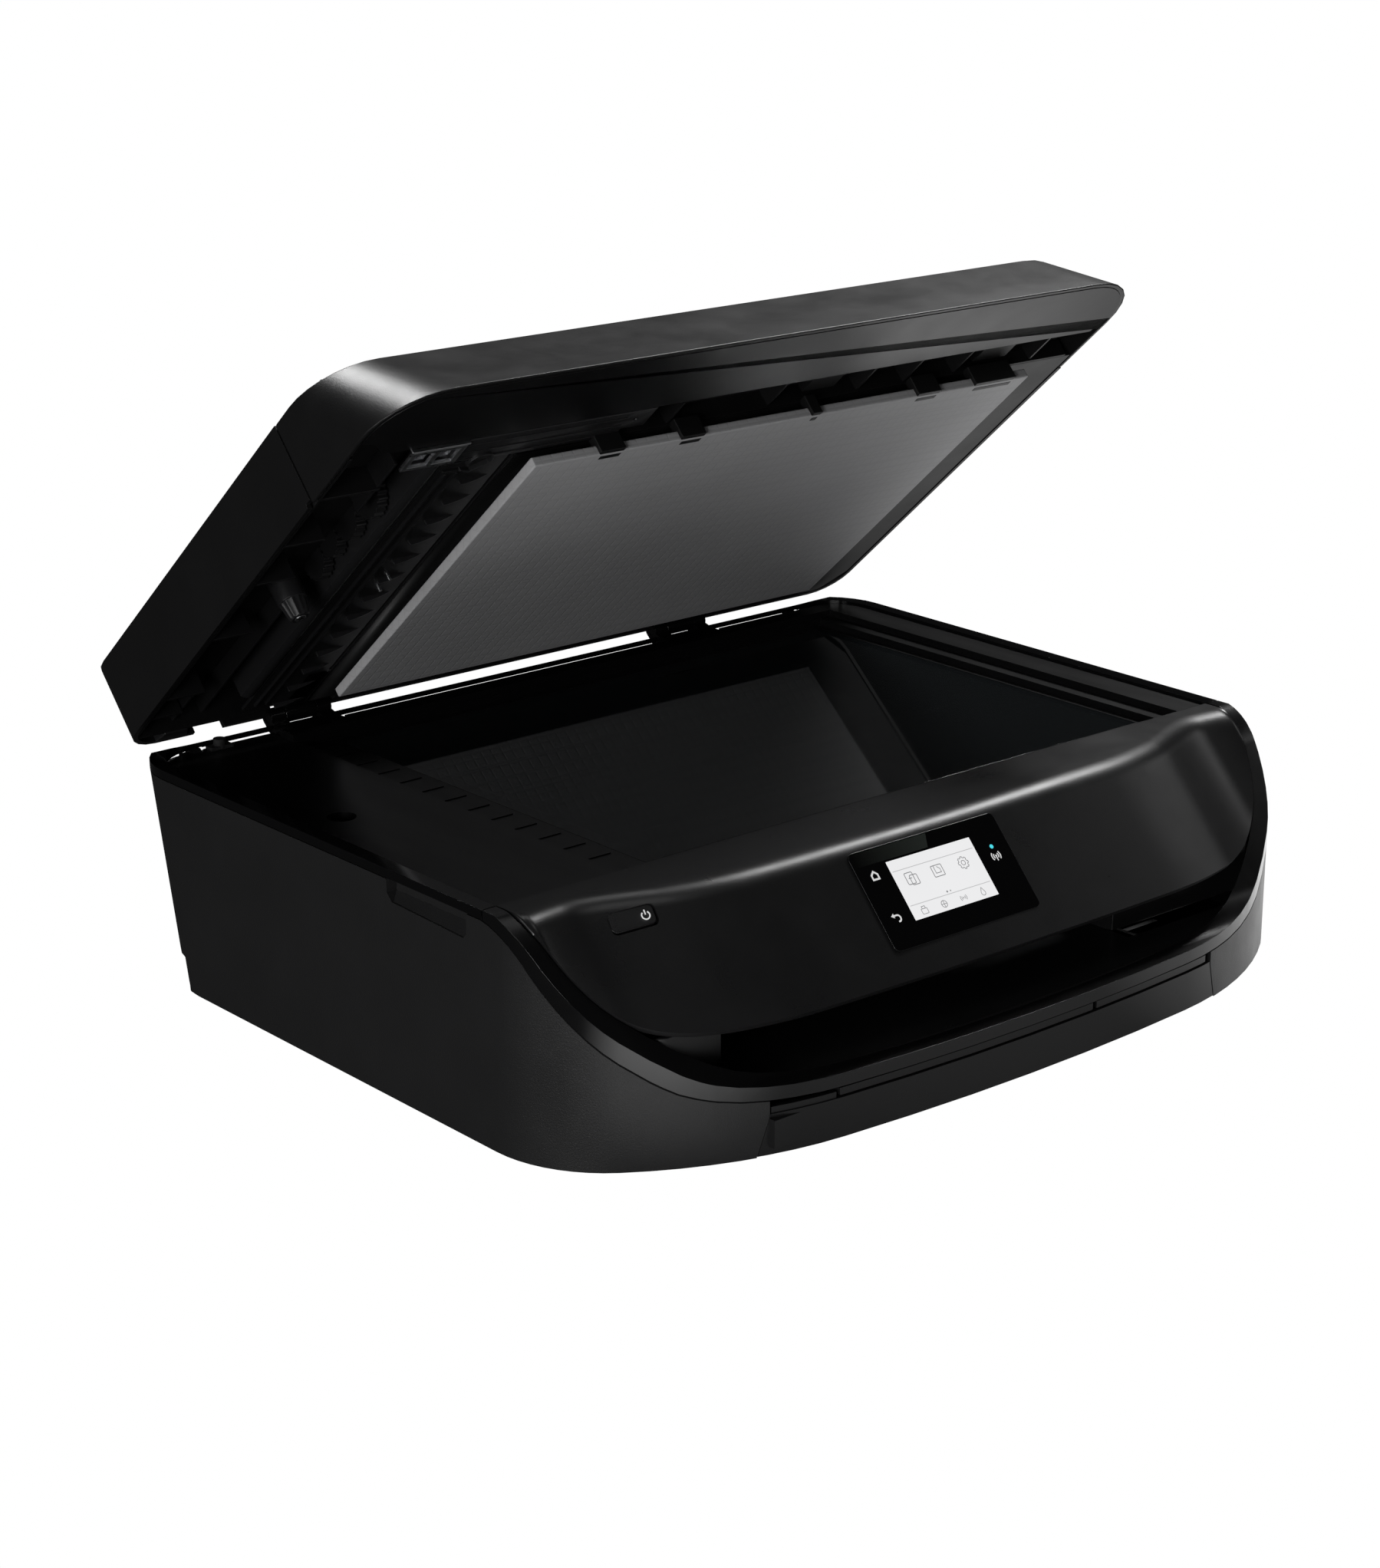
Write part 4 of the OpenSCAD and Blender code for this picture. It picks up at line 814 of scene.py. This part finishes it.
def cut(obj, bm, where):
    """Takes a solid out of a piece's mesh for good."""
    bmesh.ops.recalc_face_normals(bm, faces=bm.faces)
    mesh = bpy.data.meshes.new("cutter")
    bm.to_mesh(mesh)
    bm.free()
    mesh.transform(where)
    tool = bpy.data.objects.new("cutter", mesh)
    bpy.context.scene.collection.objects.link(tool)
    hole = obj.modifiers.new("hole", "BOOLEAN")
    hole.object = tool
    hole.operation = "DIFFERENCE"
    hole.solver = "EXACT"
    bpy.context.view_layer.update()
    made = bpy.data.meshes.new_from_object(obj.evaluated_get(bpy.context.evaluated_depsgraph_get()))
    obj.modifiers.clear()
    obj.data = made
    bpy.data.objects.remove(tool)


def control_panel():
    line = lip_heights()
    # the lip follows the front at an even distance, and draws back a little in the middle
    half = [(x, y + 6 * max(0, 1 - (x / 150) ** 2)) for x, y in front_half(8, 8) if y < 86]
    half.append((-HALF_W + 8, 91))
    side = [q for q in half if q[0] < -0.001]
    path = side[::-1] + [half[0]] + [(-x, y) for x, y in side]
    rows = [panel_profile(x, y, line) for x, y in path]
    bm = bmesh.new()
    outer = [[bm.verts.new(q) for q in row] for row in rows]
    inner = [[bm.verts.new(q + SHELL_SHIFT) for q in row] for row in rows]
    last = len(rows[0]) - 1
    for i in range(len(rows) - 1):
        for j in range(last):
            bm.faces.new((outer[i][j], outer[i + 1][j], outer[i + 1][j + 1], outer[i][j + 1]))
            bm.faces.new((inner[i][j], inner[i][j + 1], inner[i + 1][j + 1], inner[i + 1][j]))
        bm.faces.new((outer[i][0], inner[i][0], inner[i + 1][0], outer[i + 1][0]))
        bm.faces.new((outer[i][last], outer[i + 1][last], inner[i + 1][last], inner[i][last]))
    for i in (0, len(rows) - 1):
        for j in range(last):
            bm.faces.new((outer[i][j], outer[i][j + 1], inner[i][j + 1], inner[i][j]))
    panel = built("panel_skin", bm, SATIN, "scanner_unit")
    panel.modifiers.clear()
    hole = bmesh.new()
    prism(hole, round_rect(-10.5, 10.5, -4.9, 4.9, 2.7), -14, 16)
    cut(panel, hole, BUTTON)
    for q in panel.data.polygons:
        q.use_smooth = True
    panel.data.set_sharp_from_angle(angle=math.radians(38))
    edge = panel.modifiers.new("edge", "BEVEL")
    edge.width = 0.55 * MM
    edge.segments = 2
    edge.limit_method = "ANGLE"
    edge.angle_limit = math.radians(50)
    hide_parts("control_panel")


control_panel()


# ---------------------------------------------------------------- lid underside
PAD = (-119.5, 182, 26.6, 232.5)  # sides of the foam sheet in the lid frame: x, then s
HINGE_X = (-126, 111)
WALL = 2.6  # of the lid shell


def lid_plate(name, outline, t0, t1, look, width=0.4):
    """A flat plate of the lid from a list of (x, s) points."""
    bm = bmesh.new()
    prism(bm, [(x, -s) for x, s in outline], t0, t1)
    return built(name, bm, look, "lid", LID, width, 30)


def lid_lining():
    """Inner skin of the lid: a flat plate behind the pad, deep pockets in front of it and beside
    it, and walls where the plate ends."""
    x1 = HALF_W - WALL
    bm = bmesh.new()
    hx = HINGE_X[1]
    notches = [(hx + 18, 2.5), (hx + 18, 8), (hx - 18, 8), (hx - 18, 2.5)]
    outline = [(x1, 20), (x1 - 10, 2.5), *notches, (-107, 2.5)]
    outline += [(-107, 8), (-124, 8), (-124, 229), (x1, 229)]
    prism(bm, [(x, -s) for x, s in outline], 0.5, 2.9)
    lid_block(bm, -125.5, -124, 8, 251, 0.5, 15)
    lid_block(bm, -124, x1 - 4, 229, 230.5, 0.5, 10)
    lid_block(bm, -57, x1 - 4, 250, 251.5, 0.5, 10)
    lid_block(bm, -124, x1 - 5, 229, 252, 9.5, 11)
    lid_block(bm, -217, -124, 12, 252, 14, 15.5)
    lid_block(bm, -219, -145, 8, 9.5, 0.5, 15)
    lid_block(bm, -219.2, -217.6, 9, 250, 0.5, 15)
    lining = built("lid_lining", bm, INNER, "lid", LID, 0.35, 30)
    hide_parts("lid_base")
    bm = bmesh.new()
    for x in (-40, 20, 75, 105, 138, 190):
        lid_block(bm, x, x + 1.6, 230, 251, 1.5, 10)
    for x0, x1 in ((40, 60), (150, 172)):
        lid_block(bm, x0, x1, 234, 247, 3.5, 10)
    built("lid_front_ribs", bm, INNER, "lid", LID, 0.3, 30)


def lid_bezel():
    """Smooth band along the front of the underside, with a wave at its left end."""
    x = HALF_W - 2.8
    r_left, r_right = 29.0, 37.0
    front = 294.4
    left = arc(r_left - x, front - r_left, r_left, 180, 90, 10)
    right = arc(x - r_right, front - r_right, r_right, 90, 0, 10)
    wave = [(-200, 251), (-205, 252.5), (-209, 257), (-213, 261), (-x, 262.4)]
    notch = [(x, 262), (x - 1.5, 261.5), (x - 4, 258.5), (x - 4.4, 254.5), (x - 5, 251.6)]
    lid_plate("lid_bezel", left + right + notch + wave, -0.15, 2.4, SATIN_DARK, 0.7)


def lid_pocket():
    """Ribs, gears and the feeder lip, rails, fins and pins in the deep bay left of the pad; the peg
    there is made by lid_peg.
    """
    bm = bmesh.new()
    for s in (180, 148, 100, 45):
        lid_block(bm, -219, -197, s - 0.8, s + 0.8, 0.7, 14)
    lid_block(bm, -219, -186, 214, 216, 2, 14)
    lid_block(bm, -219, -200, 24, 25.6, 1.5, 14)
    lid_block(bm, -187.5, -186, 196, 234, 3, 14)
    lid_block(bm, -199, -197.6, 12, 45, 4, 14)
    lid_block(bm, -183, -181.5, 12, 110, 5, 14)
    built("lid_ribs", bm, INNER_LIGHT, "lid", LID, 0.3, 30)

    bm = bmesh.new()
    for s, r in ((192, 11), (172, 9.5), (154, 8), (138, 9.5)):
        wheel = []
        teeth = int(r * 2)
        for k in range(teeth):
            for f, rr in ((0.0, r - 0.9), (0.3, r), (0.55, r), (0.85, r - 0.9)):
                a = 2 * math.pi * (k + f) / teeth
                wheel.append((s + rr * math.cos(a), 12.5 + rr * math.sin(a)))
        faces = [[(x, -y, min(z, 14.5)) for y, z in wheel] for x in (-177.5, -172.5)]
        joined(bm, *faces)
    built("feeder_gears", bm, INNER_LIGHT, "lid", LID, 0.15, 40)

    bm = bmesh.new()
    bow = [(-171 + 8 * k / 12, 1.2 - 1.6 * math.sin(math.pi * k / 12)) for k in range(13)]
    bow += [(-163, 12), (-171, 12)]
    joined(bm, *[[(x, -end, t) for x, t in bow] for end in (30, 232)])
    built("feeder_lip", bm, SATIN_LIGHT, "lid", LID, 0.2, 40)

    bm = bmesh.new()
    lid_block(bm, -163, -127, 14, 230, 0.6, 2.2)
    for x in (-158.2, -152.2):
        lid_block(bm, x - 0.6, x + 0.6, 18, 224, -0.9, 0.8)
    lid_block(bm, -160.5, -150, 224, 226, -0.6, 0.8)
    built("feeder_rails", bm, INNER_LIGHT, "lid", LID, 0.25, 30)

    bm = bmesh.new()
    for k in range(13):
        s = 14 + 16.7 * k
        top = [(-146 + 17 * i / 8, -2.0 + 2.9 * (i / 8) ** 1.7) for i in range(9)]
        side = top + [(-129, 1.4), (-146, 1.4)]
        joined(bm, *[[(x, -end, t) for x, t in side] for end in (s - 0.45, s + 0.45)])
    built("feeder_fins", bm, SATIN_LIGHT, "lid", LID, 0.15, 30)

    bm = bmesh.new()
    for s in (131, 121):
        disc(bm, -139.5, -s, 0.9, -1.4, 1, 14)
    built("feeder_pins", bm, STEEL, "lid", LID, 0.2, 30)


def lid_peg():
    """Fluted cone with a cross-head screw in its tip."""
    px, ps = -190.0, BODY_D - 1.5 - 237
    bm = bmesh.new()
    levels = [(14, 7.4), (-1, 6.6), (-1.2, 6.0), (-8.8, 4.6), (-9.6, 4.0)]
    count = 48
    flutes = 12
    loops = []
    for t, r in levels:
        flute = 0.22 if -9 < t < -1 else 0.0
        turns = [360 * k / count for k in range(count)]
        radii = [r + flute * math.cos(math.radians(flutes * turn)) for turn in turns]
        loops.append([bm.verts.new((*polar(px, -ps, q, turn), t)) for q, turn in zip(radii, turns)])
    for a, b in zip(loops, loops[1:]):
        for k in range(count):
            n = (k + 1) % count
            bm.faces.new((a[k], a[n], b[n], b[k]))
    bm.faces.new(loops[0])
    bm.faces.new(loops[-1])
    built("lid_peg", bm, SATIN_LIGHT, "lid", LID, 0.25, 40)
    bm = bmesh.new()
    disc(bm, px, -ps, 2.6, -9.9, -9.3, 24)
    built("peg_screw", bm, STEEL, "lid", LID, 0.2, 30)
    bm = bmesh.new()
    block(bm, px - 1.6, px + 1.6, -ps - 0.3, -ps + 0.3, -9.95, -9.8)
    block(bm, px - 0.3, px + 0.3, -ps - 1.6, -ps + 1.6, -9.96, -9.8)
    built("peg_screw_cross", bm, INNER, "lid", LID, 0, 30)


def lid_front_bar():
    """Lighter bar in front of the pad's left end, its screw hole, hook and metal catch."""
    outline = [(-163, 250), (-163, 236), (-152, 231), (-70, 230), (-70, 236), (-57, 236), (-57, 250)]
    bar = lid_plate("feeder_bar", outline, -0.1, 2.2, SATIN_LIGHT, 0.6)
    bm = bmesh.new()
    prism(bm, ring_points(-66, -243, 1.1, 16), -3, 5)
    cut_hole(bar, bm)
    bm = bmesh.new()
    for s in (234, 240, 246):
        lid_block(bm, -160, -72, s - 0.3, s + 0.3, -0.5, 0.4)
    built("feeder_bar_lines", bm, SATIN_LIGHT, "lid", LID, 0.15, 30)
    bm = bmesh.new()
    stroke(bm, [(-152, -226), (-146, -224)] + arc(-144, -231, 6, 20, -200, 14), 1.0, -1.4, 1.0)
    built("feeder_hook", bm, SATIN_LIGHT, "lid", LID, 0.2, 30)
    bm = bmesh.new()
    for x0, x1, s0, s1 in (
        (-188, -160, 247, 249.5),
        (-188, -160, 235, 237.5),
        (-188, -185.5, 237, 248),
        (-176, -173, 237, 248),
        (-163, -160, 237, 248),
    ):
        lid_block(bm, x0, x1, s0, s1, -1.6, 0.2)
    lid_block(bm, -189, -159, 249.2, 250.4, -1.6, 6)
    built("lid_catch", bm, STEEL, "lid", LID, 0.4, 30)
    bm = bmesh.new()
    lid_block(bm, -185.2, -176.4, 238, 246.6, 0.8, 1.4)
    lid_block(bm, -172.6, -163.4, 238, 246.6, 0.8, 1.4)
    built("catch_windows", bm, BRIGHT, "lid", LID, 0.2, 30)


def cut_hole(obj, bm):
    """Cuts a hole in a piece of the lid and rounds its edges again."""
    widths = [m.width for m in obj.modifiers if m.type == "BEVEL"]
    obj.modifiers.clear()
    cut(obj, bm, LID)
    for width in widths:
        edge = obj.modifiers.new("edge", "BEVEL")
        edge.width = width
        edge.segments = 2
        edge.limit_method = "ANGLE"


def pad_clips():
    bm = bmesh.new()
    for x0, x1 in ((-84, -70), (-38, -24), (40, 46), (107, 122), (145, 172)):
        lid_block(bm, x0, x1, 229.5, 234.5, -8.5, 1.5)
        lid_block(bm, x0 + 1, x1 - 1, 228, 231, -8.9, -7.9)
    built("pad_clips", bm, INNER, "lid", LID, 0.5, 30)


def lid_rear_edge():
    bm = bmesh.new()
    prism(bm, [(-206, -1), (-188, -1), (-191, -9), (-203, -9)], -0.4, 3)
    built("lid_rear_tab", bm, SATIN_LIGHT, "lid", LID, 0.5, 30)


lid_lining()
lid_bezel()
lid_pocket()
lid_peg()
lid_front_bar()
pad_clips()
lid_rear_edge()


# ---------------------------------------------------------------- document pad
def foam_sheet(name, x0, x1, s0, s1, t0, t1, r, crown):
    """A sheet of foam with a slightly crowned face, rounded corners and soft edges."""
    bm = bmesh.new()
    nx, ns = 44, 32  # cells of the face
    rows = []
    for j in range(ns + 1):
        s = s0 + (s1 - s0) * j / ns
        row = []
        for i in range(nx + 1):
            x = x0 + (x1 - x0) * i / nx
            u = 2 * i / nx - 1
            v = 2 * j / ns - 1
            swell = crown * (1 - u**4) * (1 - v**4)
            row.append(bm.verts.new((x, -s, t0 - swell)))
        rows.append(row)
    for a, b in zip(rows, rows[1:]):
        for i in range(nx):
            bm.faces.new((a[i], a[i + 1], b[i + 1], b[i]))
    right = [row[-1] for row in rows[1:-1]]
    left = [row[0] for row in rows[-2:0:-1]]
    rim = rows[0] + right + rows[-1][::-1] + left
    back = [bm.verts.new((v.co.x, v.co.y, t1)) for v in rim]
    count = len(rim)
    for k in range(count):
        n = (k + 1) % count
        bm.faces.new((rim[k], rim[n], back[n], back[k]))
    bm.faces.new(back)
    return built(name, bm, FOAM, "lid", LID, r, 40)


pad = foam_sheet("foam_pad", *PAD, -8.7, -3.9, 0.8, 0.25)
backing = foam_sheet("foam_backing", -108, 170, 38, 222, -3.9, 0.3, 0.3, 0.0)
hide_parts("document_pad")
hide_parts("document_pad")
